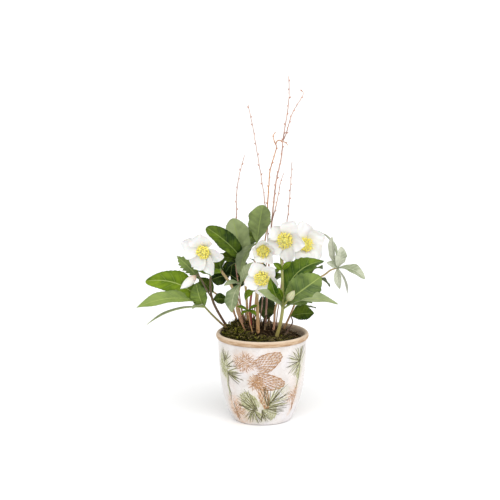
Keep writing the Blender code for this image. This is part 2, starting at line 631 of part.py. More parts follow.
def make_petal(name, bloom, frame, turn, collection):
    """One broad tepal: it leaves the seat steeply, flattens outwards and is a little spooned."""
    start, finish = (math.radians(angle) for angle in bloom["cup"])
    length = mm(bloom["radius"]) * 1.02
    spine = [Vector((mm(4.0), mm(-0.6)))]
    for step in range(PETAL_CELLS):
        slope = start + (finish - start) * min(1, 1.6 * (step + 0.5) / PETAL_CELLS)
        spine.append(spine[-1] + Vector((math.cos(slope), math.sin(slope))) * length / PETAL_CELLS)
    bm = bmesh.new()
    bmesh.ops.create_grid(bm, x_segments=PETAL_CELLS, y_segments=PETAL_CELLS, size=0.5)
    for vert in bm.verts:
        t = vert.co.x + 0.5
        edge = vert.co.y * 2
        radial, height = spine[round(t * PETAL_CELLS)]
        breadth = math.sin(math.pi * (0.05 + 0.89 * t) ** 1.15)
        half = max(mm(1.8), mm(bloom["radius"]) * PETAL_BREADTH * breadth)
        spoon = half * PETAL_SPOON * edge ** 2
        twist = half * PETAL_TWIST * edge
        radial -= spoon * math.sin(finish) + mm(bloom["radius"]) * 0.07 * edge ** 2 * t
        height += spoon * math.cos(finish) + twist
        spot = Vector((radial, half * edge, height))
        vert.co = Vector((spot.x * math.cos(turn) - spot.y * math.sin(turn),
                          spot.x * math.sin(turn) + spot.y * math.cos(turn), spot.z))
    bmesh.ops.triangulate(bm, faces=bm.faces[:])
    bmesh.ops.solidify(bm, geom=bm.faces[:], thickness=mm(PETAL_THICKNESS))
    bmesh.ops.recalc_face_normals(bm, faces=bm.faces[:])
    bmesh.ops.transform(bm, matrix=frame, verts=bm.verts)
    return mesh_object(name, bm, collection, "petal_white")


def make_stamens(name, bloom, facing, collection):
    """Green carpels in the middle of a ring of yellow stamens, seated just above the tepals."""
    frame = facing.to_track_quat("Z", "Y").to_matrix().to_4x4()
    frame.translation = mm(bloom["centre"])
    size = bloom["radius"] / 40
    bm = bmesh.new()
    bmesh.ops.create_cone(bm, cap_ends=True, segments=7, radius1=mm(2.8), radius2=mm(1.2),
                          depth=mm(8 * size))
    bmesh.ops.translate(bm, verts=bm.verts, vec=(0, 0, mm(0.4 + GAP + 4 * size)))
    bmesh.ops.transform(bm, matrix=frame, verts=bm.verts)
    pieces = [mesh_object(name + "_core", bm, collection, "stamen_yellow")]
    for number in range(STAMEN_COUNT):
        turn = 2 * math.pi * number / STAMEN_COUNT
        lean = math.radians(bloom["spread"] if number % 2 else bloom["spread"] * 0.6)
        way = Vector((math.sin(lean) * math.cos(turn), math.sin(lean) * math.sin(turn), math.cos(lean)))
        root = Vector((0, 0, mm(2.6 * size)))
        pieces.append(make_stamen(f"{name}_stamen_{number}", root, way, mm(13 * size), frame, collection))
    fuse(name + "_stamens", pieces, collection)


def make_stamen(name, root, way, reach, frame, collection):
    """A thread with a fat anther at its end, drawn out of a four-sided ball."""
    bm = bmesh.new()
    bmesh.ops.create_uvsphere(bm, u_segments=4, v_segments=4, radius=1)
    heights = {-1.0: 0.0, -0.71: 0.02, 0.0: 0.74, 0.71: 0.88, 1.0: 1.0}
    radii = {-0.71: 0.6, 0.0: 0.5, 0.71: 1.4}
    for vert in bm.verts:
        level = round(vert.co.z, 2)
        flat = Vector((vert.co.x, vert.co.y))
        if level in radii:
            flat = flat.normalized() * mm(radii[level])
        vert.co = Vector((flat.x, flat.y, reach * heights[level]))
    bmesh.ops.rotate(bm, verts=bm.verts, matrix=way.to_track_quat("Z", "Y").to_matrix())
    bmesh.ops.translate(bm, verts=bm.verts, vec=root)
    bmesh.ops.transform(bm, matrix=frame, verts=bm.verts)
    return mesh_object(name, bm, collection, "stamen_yellow")


def make_bud(name, bud, collection):
    """A closed flower: an egg with five shallow lobes, drawn to a blunt point."""
    base, tip = Vector(bud["base"]), Vector(bud["tip"])
    length = (tip - base).length
    way = (tip - base).normalized()
    bm = bmesh.new()
    bmesh.ops.create_uvsphere(bm, u_segments=10, v_segments=7, radius=0.5)
    for vert in bm.verts:
        t = vert.co.z + 0.5
        angle = math.atan2(vert.co.y, vert.co.x)
        swell = (math.sin(math.pi * t ** 0.8) ** 0.75 if 0 < t < 1 else 0) * (1 + 0.08 * math.cos(5 * angle))
        vert.co = Vector((math.cos(angle) * mm(bud["radius"]) * swell,
                          math.sin(angle) * mm(bud["radius"]) * swell, mm(length * t)))
    bmesh.ops.rotate(bm, verts=bm.verts, matrix=way.to_track_quat("Z", "Y").to_matrix())
    bmesh.ops.translate(bm, verts=bm.verts, vec=mm(base))
    mesh_object(name, bm, collection, "petal_white")


def make_twig(name, twig, collection, cutters):
    """A thin branch with side shoots and small pointed buds, standing in the soil."""
    path = rooted_path(twig["path"])
    pieces = [tube_mesh(name + "_main", path, twig["thick"], collection, "twig_bark")]
    tip = twig["thick"][1]
    for number, branch in enumerate(twig["branches"]):
        shoot = smooth_path(branch)
        pieces.append(tube_mesh(f"{name}_branch_{number}", shoot, (tip + 0.3, tip), collection, "twig_bark"))
    for number, share in enumerate(twig["buds"]):
        index = int(share * (len(path) - 2))
        way = (path[index + 1] - path[index]).normalized()
        lean = way.cross(Vector((0, 1, 0))).normalized() * (0.5 if number % 2 else -0.5)
        way = (way + lean).normalized()
        bm = bmesh.new()
        bmesh.ops.create_uvsphere(bm, u_segments=4, v_segments=2, radius=mm(1.4))
        bmesh.ops.scale(bm, verts=bm.verts, vec=(1, 1, 2.6))
        bmesh.ops.rotate(bm, verts=bm.verts, matrix=way.to_track_quat("Z", "Y").to_matrix())
        bmesh.ops.translate(bm, verts=bm.verts, vec=path[index] + way * mm(2.2))
        pieces.append(mesh_object(f"{name}_bud_{number}", bm, collection, "twig_bark"))
    fuse(name, pieces, collection)
    make_hole(name + "_hole", twig["path"], twig["thick"][0], cutters)


def main():
    clear_scene()
    plant = make_collection("potted_hellebore")
    cutters = make_collection("stem_holes")
    inner = make_pot(plant)
    for name, leaf in LEAVES.items():
        make_leaf(name, leaf, plant, cutters)
    for name, bloom in BLOOMS.items():
        make_bloom(name, bloom, plant, cutters)
    for name, bud in BUDS.items():
        make_bud(name, bud, plant)
    for name, twig in TWIGS.items():
        make_twig(name, twig, plant, cutters)
    make_soil(inner, plant, cutters)
    make_moss(plant, cutters)


main()
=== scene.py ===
import random
from math import atan2, cos, degrees, exp, hypot, pi, radians, sin, sqrt, tan

import bmesh
import bpy
from mathutils import Matrix, Vector, noise


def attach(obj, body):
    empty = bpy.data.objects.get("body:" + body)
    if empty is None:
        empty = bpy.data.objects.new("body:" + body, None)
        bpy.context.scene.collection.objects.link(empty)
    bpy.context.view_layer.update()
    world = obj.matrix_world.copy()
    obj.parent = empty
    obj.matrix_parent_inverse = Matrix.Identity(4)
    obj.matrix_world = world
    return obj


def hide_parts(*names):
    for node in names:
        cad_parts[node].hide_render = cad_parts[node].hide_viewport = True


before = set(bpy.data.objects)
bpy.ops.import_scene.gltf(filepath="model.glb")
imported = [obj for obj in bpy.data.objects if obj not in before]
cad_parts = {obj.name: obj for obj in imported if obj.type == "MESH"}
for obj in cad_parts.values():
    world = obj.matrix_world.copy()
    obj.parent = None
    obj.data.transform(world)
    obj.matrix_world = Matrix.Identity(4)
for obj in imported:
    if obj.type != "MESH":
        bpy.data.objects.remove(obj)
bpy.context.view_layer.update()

# Places and sizes below are in millimetres, in the frame of the pot: its foot at 0, flowers towards -y.
mm = 0.001
goldenTurn = pi * (3 - sqrt(5))  # spreads stamens, stubs and strokes evenly round a middle


def place(point):
    return Vector(point) * mm


def smoothPath(points, steps=6):
    # a smooth curve through the points, in metres
    knots = [place(point) for point in points]
    ends = [2 * knots[0] - knots[1]] + knots + [2 * knots[-1] - knots[-2]]
    path = []
    for before, start, end, after in zip(ends, ends[1:], ends[2:], ends[3:]):
        for step in range(steps):
            t = step / steps
            path.append(0.5 * (2 * start + (end - before) * t
                               + (2 * before - 5 * start + 4 * end - after) * t ** 2
                               + (3 * start - before - 3 * end + after) * t ** 3))
    path.append(knots[-1])
    return path


def ease(low, high, value):
    share = min(1, max(0, (value - low) / (high - low)))
    return share * share * (3 - 2 * share)


def newFaces(bm, count):
    bm.faces.ensure_lookup_table()
    return bm.faces[count:]


def giveMat(faces, number):
    for face in faces:
        face.material_index = number


def pointed(spot, way):
    # a frame at a spot, its upright turned to point a way
    return Matrix.Translation(spot) @ way.to_track_quat("Z", "Y").to_matrix().to_4x4()


def flatSheet(bm, along, across, marked=False):
    # a sheet's corners, each with its share of the length and its place across from -1 to 1
    grid = bmesh.ops.create_grid(bm, x_segments=along, y_segments=across, size=0.5, calc_uvs=marked)
    return [(vert, vert.co.x + 0.5, vert.co.y * 2) for vert in grid["verts"]]


def around(turn):
    return Vector((cos(turn), sin(turn), 0))


def jolt(draw, most):
    return Vector([draw.uniform(-most, most) for axis in range(3)])


def gather(bm, part):
    # add a finished part to the piece that it belongs to
    mesh = bpy.data.meshes.new("part")
    part.to_mesh(mesh)
    part.free()
    bm.from_mesh(mesh)
    bpy.data.meshes.remove(mesh)


def addObject(name, data):
    made = bpy.data.objects.new(name, data)
    bpy.context.scene.collection.objects.link(made)
    return made


def finishPiece(name, bm, mats, nodes=(), sharp=None):
    mesh = bpy.data.meshes.new(name)
    bm.to_mesh(mesh)
    bm.free()
    for mat in mats:
        mesh.materials.append(mat)
    mesh.shade_smooth()
    if sharp:
        mesh.set_sharp_from_angle(angle=radians(sharp))
    piece = addObject(name, mesh)
    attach(piece, "root")
    if nodes:
        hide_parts(*nodes)


def thicken(bm, sheet, depth, backMat):
    # give a sheet its other side, set back along each corner's own direction, and close its edge
    back = {}
    for face in sheet:
        face.normal_update()
    for face in sheet:
        for vert in face.verts:
            if vert not in back:
                vert.normal_update()
                back[vert] = vert.co - vert.normal * depth
    made = bmesh.ops.extrude_face_region(bm, geom=sheet, use_keep_orig=True)["geom"]
    for vert, spot in back.items():
        vert.co = spot
    giveMat(sheet, backMat)
    skin = sheet + [item for item in made if isinstance(item, bmesh.types.BMFace)]
    bmesh.ops.recalc_face_normals(bm, faces=skin)


def addTube(bm, path, radii, sides=8, mat=0):
    # a round stalk: a ring carried and extruded along the path, closed at both ends
    first = len(bm.faces)
    ways = [(after - before).normalized() for before, after in zip(path, path[1:])]
    ways = [ways[0]] + [(a + b).normalized() for a, b in zip(ways, ways[1:])] + [ways[-1]]
    ring = bmesh.ops.create_circle(bm, cap_ends=True, segments=sides, radius=radii[0],
                                   matrix=pointed(path[0], ways[0]))["verts"]
    edges = list(ring[0].link_faces[0].edges)
    flat = [vert.co - path[0] for vert in ring]
    for index in range(1, len(path)):
        bend = ways[index - 1].rotation_difference(ways[index])
        flat = [bend @ spoke for spoke in flat]
        made = bmesh.ops.extrude_edge_only(bm, edges=edges)["geom"]
        fresh = [item for item in made if isinstance(item, bmesh.types.BMVert)]
        edges = [item for item in made if isinstance(item, bmesh.types.BMEdge)
                 and item.verts[0] in fresh and item.verts[1] in fresh]
        above = {}
        for old, spoke in zip(ring, flat):
            for edge in old.link_edges:
                other = edge.other_vert(old)
                if other in fresh:
                    above[old] = other
                    other.co = path[index] + spoke.normalized() * radii[index]
        ring = [above[old] for old in ring]
    bmesh.ops.contextual_create(bm, geom=edges)
    tube = newFaces(bm, first)
    bmesh.ops.recalc_face_normals(bm, faces=tube)
    giveMat(tube, mat)


def taper(count, low, high, swell=0.0):
    # radii that run from low to high, with a swelling at the foot
    shares = [index / (count - 1) for index in range(count)]
    return [(low + (high - low) * share + swell * exp(-share * 12)) * mm for share in shares]


# Shader building

def newMaterial(name, colour, roughness, gloss=0.5):
    mat = bpy.data.materials.new(name)
    mat.use_nodes = True
    mat.diffuse_color = (*colour, 1)
    shader = mat.node_tree.nodes["Principled BSDF"]
    for socket, value in (("Base Color", colour), ("Roughness", roughness), ("Specular IOR Level", gloss)):
        plug(mat.node_tree, shader.inputs[socket], value)
    return mat, mat.node_tree, shader


def plug(tree, socket, value):
    # a socket takes a link from another node, or a plain value
    if isinstance(value, bpy.types.NodeSocket):
        tree.links.new(value, socket)
    else:
        socket.default_value = (*value, 1) if socket.type == "RGBA" else value


def addNode(tree, kind, inputs=(), **settings):
    made = tree.nodes.new("ShaderNode" + kind)
    for key, value in settings.items():
        setattr(made, key, value)
    for key, value in dict(inputs).items():
        plug(tree, made.inputs[key], value)
    return made


def mathNode(tree, operation, *values):
    return addNode(tree, "Math", dict(enumerate(values)), operation=operation).outputs[0]


def times(tree, first, second):
    return mathNode(tree, "MULTIPLY", first, second)


def fade(tree, value, low, high, atLow=0.0, atHigh=1.0):
    return addNode(tree, "MapRange", {"Value": value, "From Min": low, "From Max": high, "To Min": atLow,
                                      "To Max": atHigh}, interpolation_type="SMOOTHSTEP").outputs[0]


def mixColour(tree, share, first, second, blend="MIX"):
    mixed = addNode(tree, "Mix", {0: share, 6: first, 7: second}, data_type="RGBA", blend_type=blend)
    return mixed.outputs[2]


def spots(tree, stretch=(1, 1, 1)):
    coords = addNode(tree, "TexCoord").outputs["Object"]
    return addNode(tree, "Mapping", {"Vector": coords, "Scale": stretch}).outputs[0]


def cloud(tree, vector, scale, detail=3.0, roughness=0.55):
    return addNode(tree, "TexNoise", {"Vector": vector, "Scale": scale, "Detail": detail,
                                      "Roughness": roughness}).outputs["Fac"]


def attribute(tree, name):
    return addNode(tree, "Attribute", attribute_name=name).outputs["Fac"]


def paint(tree, shader, colour):
    tree.links.new(colour, shader.inputs["Base Color"])


def relief(tree, shader, height, depth, strength=1.0):
    bump = addNode(tree, "Bump", {"Height": height, "Distance": depth * mm, "Strength": strength})
    tree.links.new(bump.outputs[0], shader.inputs["Normal"])


def uvParts(tree):
    sheet = addNode(tree, "UVMap", uv_map="UVMap").outputs[0]
    parts = addNode(tree, "SeparateXYZ", {0: sheet})
    return parts.outputs[0], parts.outputs[1]


# Finishes of the plant

leafTones = {
    "leafDeep": {"slot": "leaf_deep", "dark": (0.009, 0.026, 0.003), "light": (0.120, 0.184, 0.012),
                 "vein": (0.24, 0.31, 0.08), "under": (0.130, 0.175, 0.075), "gloss": 0.45},
    "leafBright": {"slot": "leaf_bright", "dark": (0.026, 0.070, 0.002), "light": (0.180, 0.270, 0.014),
                   "vein": (0.40, 0.48, 0.14), "under": (0.240, 0.300, 0.140), "gloss": 0.43},
    "leafGrey": {"slot": "leaf_grey", "dark": (0.100, 0.145, 0.060), "light": (0.350, 0.390, 0.220),
                 "vein": (0.52, 0.55, 0.36), "under": (0.350, 0.390, 0.270), "gloss": 0.55},
    "leafPale": {"slot": "leaf_grey", "dark": (0.150, 0.190, 0.085), "light": (0.540, 0.560, 0.440),
                 "vein": (0.66, 0.68, 0.54), "under": (0.560, 0.580, 0.480), "gloss": 0.55},
}
leafBloomAndSheen = (0.335, 0.375, 0.215)
veins = {"pairs": 7, "slant": 0.62, "line": 0.05, "rib": 0.06}


def leafSheet(name, dark, light, vein, gloss, raised):
    # shade is how light a leaflet is: its own tone and, deep in the plant, painted shade; grey is its pale
    # bloom with a painted sheen
    mat, tree, shader = newMaterial(name, light, gloss, 0.09)
    along, across = uvParts(tree)
    edge = mathNode(tree, "ABSOLUTE", times(tree, mathNode(tree, "SUBTRACT", across, 0.5), 2.0))
    slanted = times(tree, edge, veins["slant"] * 2)
    phase = mathNode(tree, "SUBTRACT", times(tree, along, veins["pairs"]), slanted)
    offLine = mathNode(tree, "PINGPONG", phase, 0.5)
    sideVein = fade(tree, offLine, 0.0, veins["line"], 1.0, 0.0)
    reach = fade(tree, edge, 0.5, 0.95, 0.5, 0.0)
    rib = fade(tree, edge, veins["rib"] * 0.4, veins["rib"], 1.0, 0.0)
    net = mathNode(tree, "MAXIMUM", times(tree, sideVein, reach), rib)
    where = spots(tree)
    patch = cloud(tree, where, 32, 4)
    grain = cloud(tree, where, 900, 2)
    # darker near the side veins, lighter between them: painted shade in the sunken veins, painted light on
    # the raised panels
    belly = fade(tree, offLine, 0.0, 0.4)
    shade = attribute(tree, "shade")
    grey = attribute(tree, "grey")
    share = mathNode(tree, "MULTIPLY_ADD", belly, 0.22, fade(tree, patch, 0.34, 0.64, -0.36, 0.30))
    # the shade attribute sets the leaflet's tone; its low values are painted shade for leaflets deep in the
    # plant
    share = mathNode(tree, "ADD", share, shade)
    # one half of each leaflet lighter than the other: painted shade from its fold
    share = mathNode(tree, "ADD", share, fade(tree, across, 0.40, 0.60, -0.10, 0.10))
    body = mixColour(tree, share, dark, light)
    body = mixColour(tree, fade(tree, edge, 0.82, 1.0, 0.0, 0.3), body, dark)
    # towards the grey tone: pale bloom, and a painted sheen laid on in cloudy patches
    body = mixColour(tree, times(tree, grey, fade(tree, patch, 0.3, 0.6, 0.6, 1.0)), body, leafBloomAndSheen)
    colour = mixColour(tree, times(tree, net, 0.8 if raised else 0.62), body, vein)
    paint(tree, shader, colour)
    tree.links.new(fade(tree, grain, 0.3, 0.7, gloss - 0.06, gloss + 0.1), shader.inputs["Roughness"])
    height = times(tree, net, 1.0 if raised else -0.8)
    height = mathNode(tree, "ADD", height, times(tree, grain, 0.5))
    relief(tree, shader, height, 0.35, 0.6)
    return mat


soilTop = 0.14  # where the stalks leave the soil, in metres


def stalkFinish(name, low, high, rise, streak):
    # a stalk's colour runs from low at the soil to high at rise, with long darker streaks
    mat, tree, shader = newMaterial(name, high, 0.42)
    height = addNode(tree, "SeparateXYZ", {0: spots(tree)}).outputs[2]
    climb = fade(tree, height, soilTop, rise * mm)
    lines = cloud(tree, spots(tree, (1, 1, 0.08)), 900, 2)
    blotch = cloud(tree, spots(tree, (1, 1, 0.35)), 190, 3)
    body = mixColour(tree, climb, low, high)
    body = mixColour(tree, fade(tree, lines, 0.42, 0.66, 0.0, 0.45), body, streak)
    body = mixColour(tree, fade(tree, blotch, 0.52, 0.72, 0.0, 0.5), body, streak)
    paint(tree, shader, body)
    relief(tree, shader, lines, 0.25, 0.5)
    return mat


def tepalFinish(name, body, foot, shade, climb=0.24):
    # white, with faint lengthwise veins, painted lavender-grey shade in soft clouds, and a greenish foot
    mat, tree, shader = newMaterial(name, body, 0.48)
    shader.inputs["Subsurface Weight"].default_value = 0.12
    shader.inputs["Subsurface Scale"].default_value = 0.002
    along, across = uvParts(tree)
    wander = cloud(tree, spots(tree), 120, 2)
    lane = mathNode(tree, "MULTIPLY_ADD", across, 17.0, times(tree, wander, 2.2))
    line = fade(tree, mathNode(tree, "PINGPONG", lane, 0.5), 0.0, 0.17, 1.0, 0.0)
    reach = fade(tree, along, 0.3, 0.95, 0.5, 0.1)
    share = times(tree, line, reach)
    # soft clouds of the shade colour: painted lavender-grey shade
    soft = mixColour(tree, fade(tree, cloud(tree, spots(tree), 50, 3), 0.35, 0.7, 0.0, 0.55), body, shade)
    soft = mixColour(tree, share, soft, shade)
    colour = mixColour(tree, fade(tree, along, 0.02, climb, 0.8, 0.0), soft, foot)
    paint(tree, shader, colour)
    relief(tree, shader, times(tree, line, -1.0), 0.15, 0.5)
    return mat


def grainFinish(name, dark, light, scale, roughness, depth, stretch=(1, 1, 1)):
    # a plain finish that wanders between two tones
    mat, tree, shader = newMaterial(name, light, roughness)
    where = spots(tree, stretch)
    grain = cloud(tree, where, scale, 4)
    paint(tree, shader, mixColour(tree, fade(tree, grain, 0.32, 0.68), dark, light))
    relief(tree, shader, grain, depth)
    return mat


leafMats = {}
for toneName, tone in leafTones.items():
    leafMats[toneName] = [
        leafSheet(toneName + "Top", tone["dark"], tone["light"], tone["vein"], tone["gloss"], False),
        leafSheet(toneName + "Under", [part * 0.6 for part in tone["under"]], tone["under"],
                  tone["vein"], 0.6, True),
        grainFinish(toneName + "Rib", [part * 0.75 for part in tone["vein"]], tone["vein"], 250, 0.5, 0.1)]


stalkTones = {
    "stalkOlive": ((0.24, 0.14, 0.06), (0.26, 0.27, 0.07), 190, (0.10, 0.06, 0.025)),
    "stalkTan": ((0.52, 0.29, 0.12), (0.56, 0.43, 0.18), 235, (0.25, 0.12, 0.05)),
    "stalkPink": ((0.52, 0.27, 0.16), (0.54, 0.41, 0.19), 215, (0.24, 0.10, 0.05)),
    "stalkBrown": ((0.13, 0.06, 0.03), (0.17, 0.13, 0.06), 240, (0.04, 0.02, 0.015)),
    "stalkRed": ((0.36, 0.035, 0.04), (0.40, 0.18, 0.10), 240, (0.16, 0.015, 0.02)),
    "stalkPale": ((0.39, 0.33, 0.10), (0.33, 0.36, 0.10), 200, (0.24, 0.18, 0.06)),
}
stalkMats = {name: stalkFinish(name, *tones) for name, tones in stalkTones.items()}
print("finishes of the plant made")


# Leaves

# crowd draws the stations together at the tip and belly moves the widest place towards it; a leaflet that is
# narrower than full has smaller teeth and waves
leafCut = {"stations": 48, "cells": 12, "crowd": 1.15, "belly": 1.4, "narrowest": 1.5, "thick": 0.4,
           "fold": 19, "twist": 14, "tooth": 0.04, "toothFrom": 0.3, "full": 30, "quilt": 0.9,
           "groove": 0.6, "wave": 2.1, "rib": (1.15, 0.22), "ribSteps": 14}
# shade is how light a leaflet is, in part painted shade; grey is its pale bloom and painted sheen; stack
# lifts it clear of the next one
plainBlade = {"shade": 0.5, "grey": 0.0, "blunt": 0.7, "point": 0.25, "bend": 0, "stack": 0, "teeth": 3,
              "lobe": 0.03}


def blade(tip, width, rise, face, **more):
    # a leaflet from its tip, breadth, arch and the way its face looks, and where it isn't like plainBlade
    tooth = leafCut["tooth"] * min(1, width / leafCut["full"])
    return {**plainBlade, "tip": tip, "width": width, "rise": rise, "face": face, "tooth": tooth, **more}


def addLeaflet(bm, sheet, base, leaflet, seed):
    draw = random.Random(seed)
    start = place(base)
    axis = place(leaflet["tip"]) - start
    up = Vector(leaflet["face"])
    up = (up - axis * up.dot(axis) / axis.dot(axis)).normalized()
    side = up.cross(axis).normalized()
    width = leaflet["width"] * mm
    fold = radians(leafCut["fold"])
    twist = radians(draw.uniform(-leafCut["twist"], leafCut["twist"]))
    breadth = min(1, leaflet["width"] / leafCut["full"])
    wave = leafCut["wave"] * mm * draw.uniform(0.6, 1.3) * breadth ** 2
    beat, shift = draw.uniform(2.2, 3.4), draw.uniform(0, 6)
    lobe, tooth, teeth, blunt, point = (leaflet[key] for key in ("lobe", "tooth", "teeth", "blunt", "point"))
    bend, stack = leaflet["bend"] * mm, leaflet["stack"] * mm
    stations = leafCut["stations"]

    def surface(share, edge):
        # a place on the leaflet, and how far along its length it lies
        t = 1 - (1 - share) ** leafCut["crowd"]
        fullness = blunt if t > 0.6 else plainBlade["blunt"]
        half = width / 2 * sin(pi * t ** leafCut["belly"]) ** fullness if 0 < share < 1 else 0
        half *= 1 - point * t ** 5
        half *= 1 + lobe * sin(beat * 7 * t + shift + (0 if edge > 0 else 2.6)) * (1 - 0.4 * t)
        if t > leafCut["toothFrom"]:
            half *= 1 + tooth * abs(edge) ** 3 * (round(share * stations) % teeth / (teeth - 1) - 0.5)
        half = max(half, (leafCut["narrowest"] - t) * mm)
        bow = leaflet["rise"] * mm * 4 * t * (1 - t)
        lift = half * abs(edge) * tan(fold) * (1.15 - 0.5 * t)
        ripple = wave * sin(beat * pi * 2 * t + shift * (1 if edge > 0 else 1.7)) * edge ** 2
        vein = cos(2 * pi * (veins["pairs"] * t - 2 * veins["slant"] * abs(edge)))
        quilt = -leafCut["quilt"] * mm * 2 * vein * abs(edge) * (1 - abs(edge)) * (1 - t ** 4)
        quilt *= min(1, half / (9 * mm))
        groove = -leafCut["groove"] * mm * exp(-(edge * 5) ** 2) * (1 - t ** 2)
        lean = twist * t
        out = half * edge * cos(lean) + bend * 4 * t * (1 - t)
        rise = bow + lift + ripple * ease(0.1, 0.4, t) + quilt + groove + half * edge * sin(lean)
        rise += stack * ease(0.0, 0.2, t) * (1 - t * t)
        return start + axis * t + up * rise + side * out, t

    before, known = len(bm.faces), len(bm.verts)
    along = {}
    for vert, share, edge in flatSheet(bm, stations, leafCut["cells"], True):
        vert.co, along[vert] = surface(share, edge)
    top = newFaces(bm, before)
    for face in top:
        for loop in face.loops:
            loop[sheet].uv.x = along[loop.vert]
    thicken(bm, top, leafCut["thick"] * mm, 1)
    # the rib runs under the leaflet and ends just short of its tip
    steps, (thick, thin) = leafCut["ribSteps"], leafCut["rib"]
    ribPath = [surface(step / steps, 0)[0] - up * 0.5 * mm for step in range(steps - 1)]
    addTube(bm, ribPath, taper(len(ribPath), thick * (0.5 + 0.5 * breadth), thin), 6, 2)
    shade, grey = (bm.verts.layers.float[layer] for layer in ("shade", "grey"))
    bm.verts.ensure_lookup_table()
    for vert in bm.verts[known:]:
        vert[shade] = leaflet["shade"]
        vert[grey] = leaflet["grey"]


def leafMesh():
    bm = bmesh.new()
    sheet = bm.loops.layers.uv.new("UVMap")
    for layer in ("shade", "grey"):
        bm.verts.layers.float.new(layer)
    return bm, sheet


def addStalk(bm, path, thick, mat, sink=8, straight=10):
    # a stalk starts below the soil and comes out of it straight
    foot = Vector(path[0])
    lean = (Vector(path[1]) - foot).normalized()
    line = smoothPath([foot - lean * sink, foot + lean * straight] + list(path[1:]))
    addTube(bm, line, taper(len(line), thick[0], thick[1], 0.5), 10, mat)


def makeLeaf(name, leaf):
    bm, sheet = leafMesh()
    hub = leaf["path"][-1]
    for number, leaflet in enumerate(leaf["leaflets"]):
        addLeaflet(bm, sheet, hub, leaflet, leaf["seed"] * 10 + number)
    before = len(bm.faces)
    bmesh.ops.create_uvsphere(bm, u_segments=10, v_segments=6, radius=leaf["thick"][1] * 1.15 * mm,
                              matrix=Matrix.Translation(place(hub)))
    giveMat(newFaces(bm, before), 2)
    finishPiece(name + "Blades", bm, leafMats[leaf["blade"]],
                [leaf["node"] + "_blades"], sharp=60)
    bm = bmesh.new()
    addStalk(bm, leaf["path"], leaf["thick"], 0)
    finishPiece(name + "Stalk", bm, [stalkMats[leaf["stalk"]]], [leaf["node"] + "_stalk"])


leafLeft = {
    "node": "leaf_left", "seed": 3, "blade": "leafBright", "stalk": "stalkOlive", "thick": (2.1, 1.5),
    "path": [(-46, 12, 139), (-64, 5, 154), (-80, -2, 171), (-93, -13, 188)],
    "leaflets": [
        blade((-187, -18, 231), 40, 14, (0.1, -0.85, 0.5), shade=0.4, blunt=0.5, bend=-13),
        blade((-199, -60, 197), 27, 17, (0.0, -0.5, 0.86), shade=0.6, grey=0.3, stack=3),
        blade((-184, -56, 168), 10, 10, (-0.1, 0.1, 1.0), grey=0.95),
        blade((-106, -18, 228), 28, 9, (-0.2, -0.9, 0.3), shade=0.15, grey=0.15, blunt=0.5, stack=5),
        blade((-111, -50, 193), 13, 4, (-0.3, -0.3, 0.9), grey=0.9),
    ]}
makeLeaf("leafLeft", leafLeft)

leafUnder = {
    "node": "leaf_under", "seed": 4, "blade": "leafDeep", "stalk": "stalkPink", "thick": (2.7, 2.2),
    "path": [(-30, 14, 147), (-41, 22, 185), (-49, 25, 212), (-68, 20, 242)],
    "leaflets": [
        blade((-98, 12, 247), 26, 4, (-0.2, -0.7, 0.7), shade=0.5, tooth=0.12),
        blade((-106, 38, 264), 24, 6, (-0.2, -0.3, 0.9), shade=0.4),
        blade((-80, 66, 262), 26, 8, (0.1, 0.3, 0.9), shade=0.4),
    ]}
makeLeaf("leafUnder", leafUnder)

leafSmall = {
    "node": "leaf_small", "seed": 5, "blade": "leafDeep", "stalk": "stalkPink", "thick": (1.8, 1.4),
    "path": [(-37, 42, 143), (-50, 46, 171), (-65, 40, 190), (-80, 27, 204)],
    "leaflets": [
        blade((-102, 8, 232), 22, 4, (-0.2, -0.9, 0.4), shade=0.4, tooth=0.1),
        blade((-114, 26, 206), 18, 7, (-0.1, 0.1, 1.0), shade=0.3),
        blade((-112, 56, 202), 22, 8, (0.0, 0.3, 0.9)),
    ]}
makeLeaf("leafSmall", leafSmall)

leafShade = {
    "node": "leaf_shade", "seed": 6, "blade": "leafDeep", "stalk": "stalkPink", "thick": (1.6, 1.3),
    "path": [(-26, 50, 143), (-36, 58, 175), (-46, 60, 205), (-52, 58, 226)],
    "leaflets": [
        blade((-84, 56, 218), 34, 4, (-0.2, -0.8, 0.5), shade=0.12),
        blade((-30, 54, 210), 34, 2, (0.1, -0.9, 0.4), shade=0.0),
        blade((-48, 52, 254), 30, 4, (0.0, -0.9, 0.4), shade=0.05),
        blade((-74, 108, 222), 30, 9, (0.0, 0.3, 0.9)),
        blade((-30, 116, 226), 28, 9, (0.1, 0.4, 0.9)),
    ]}
makeLeaf("leafShade", leafShade)

leafUpper = {
    "node": "leaf_upper", "seed": 7, "blade": "leafDeep", "stalk": "stalkTan", "thick": (2.3, 1.9),
    "path": [(-24, 24, 149), (-25, 25, 180), (-27, 25, 210), (-31, 20, 252)],
    "leaflets": [
        blade((-90, 0, 315), 34, 12, (-0.3, -0.6, 0.7), shade=0.22, blunt=0.42, point=0.05, stack=5,
              lobe=0.06),
        blade((-48, 24, 326), 40, 5, (0.1, -0.9, 0.3), shade=0.8, grey=0.6, blunt=0.5, point=0.1,
              lobe=0.07),
        blade((-71, 4, 265), 22, 6, (-0.1, -0.6, 0.8), shade=0.3),
        blade((-59, 12, 240), 16, 8, (-0.4, -0.1, 0.9), shade=0.2),
        blade((-14, 88, 288), 25, 9, (0.0, 0.1, 1.0)),
    ]}
makeLeaf("leafUpper", leafUpper)

leafCentre = {
    "node": "leaf_centre", "seed": 8, "blade": "leafDeep", "stalk": "stalkRed", "thick": (2.2, 1.8),
    "path": [(-19, 8, 150), (-20, 9, 184), (-16, 11, 220), (-9, 16, 287)],
    "leaflets": [
        blade((1, 30, 347), 38, 4, (-0.2, -0.9, 0.3), shade=0.58, grey=0.35, blunt=0.5, point=0.1,
              lobe=0.08),
        blade((-34, -13, 236), 27, 14, (-0.7, -0.7, 0.3), shade=0.15, grey=0.5),
        blade((-24, 60, 304), 28, 6, (0.1, -0.2, 1.0)),
    ]}
makeLeaf("leafCentre", leafCentre)

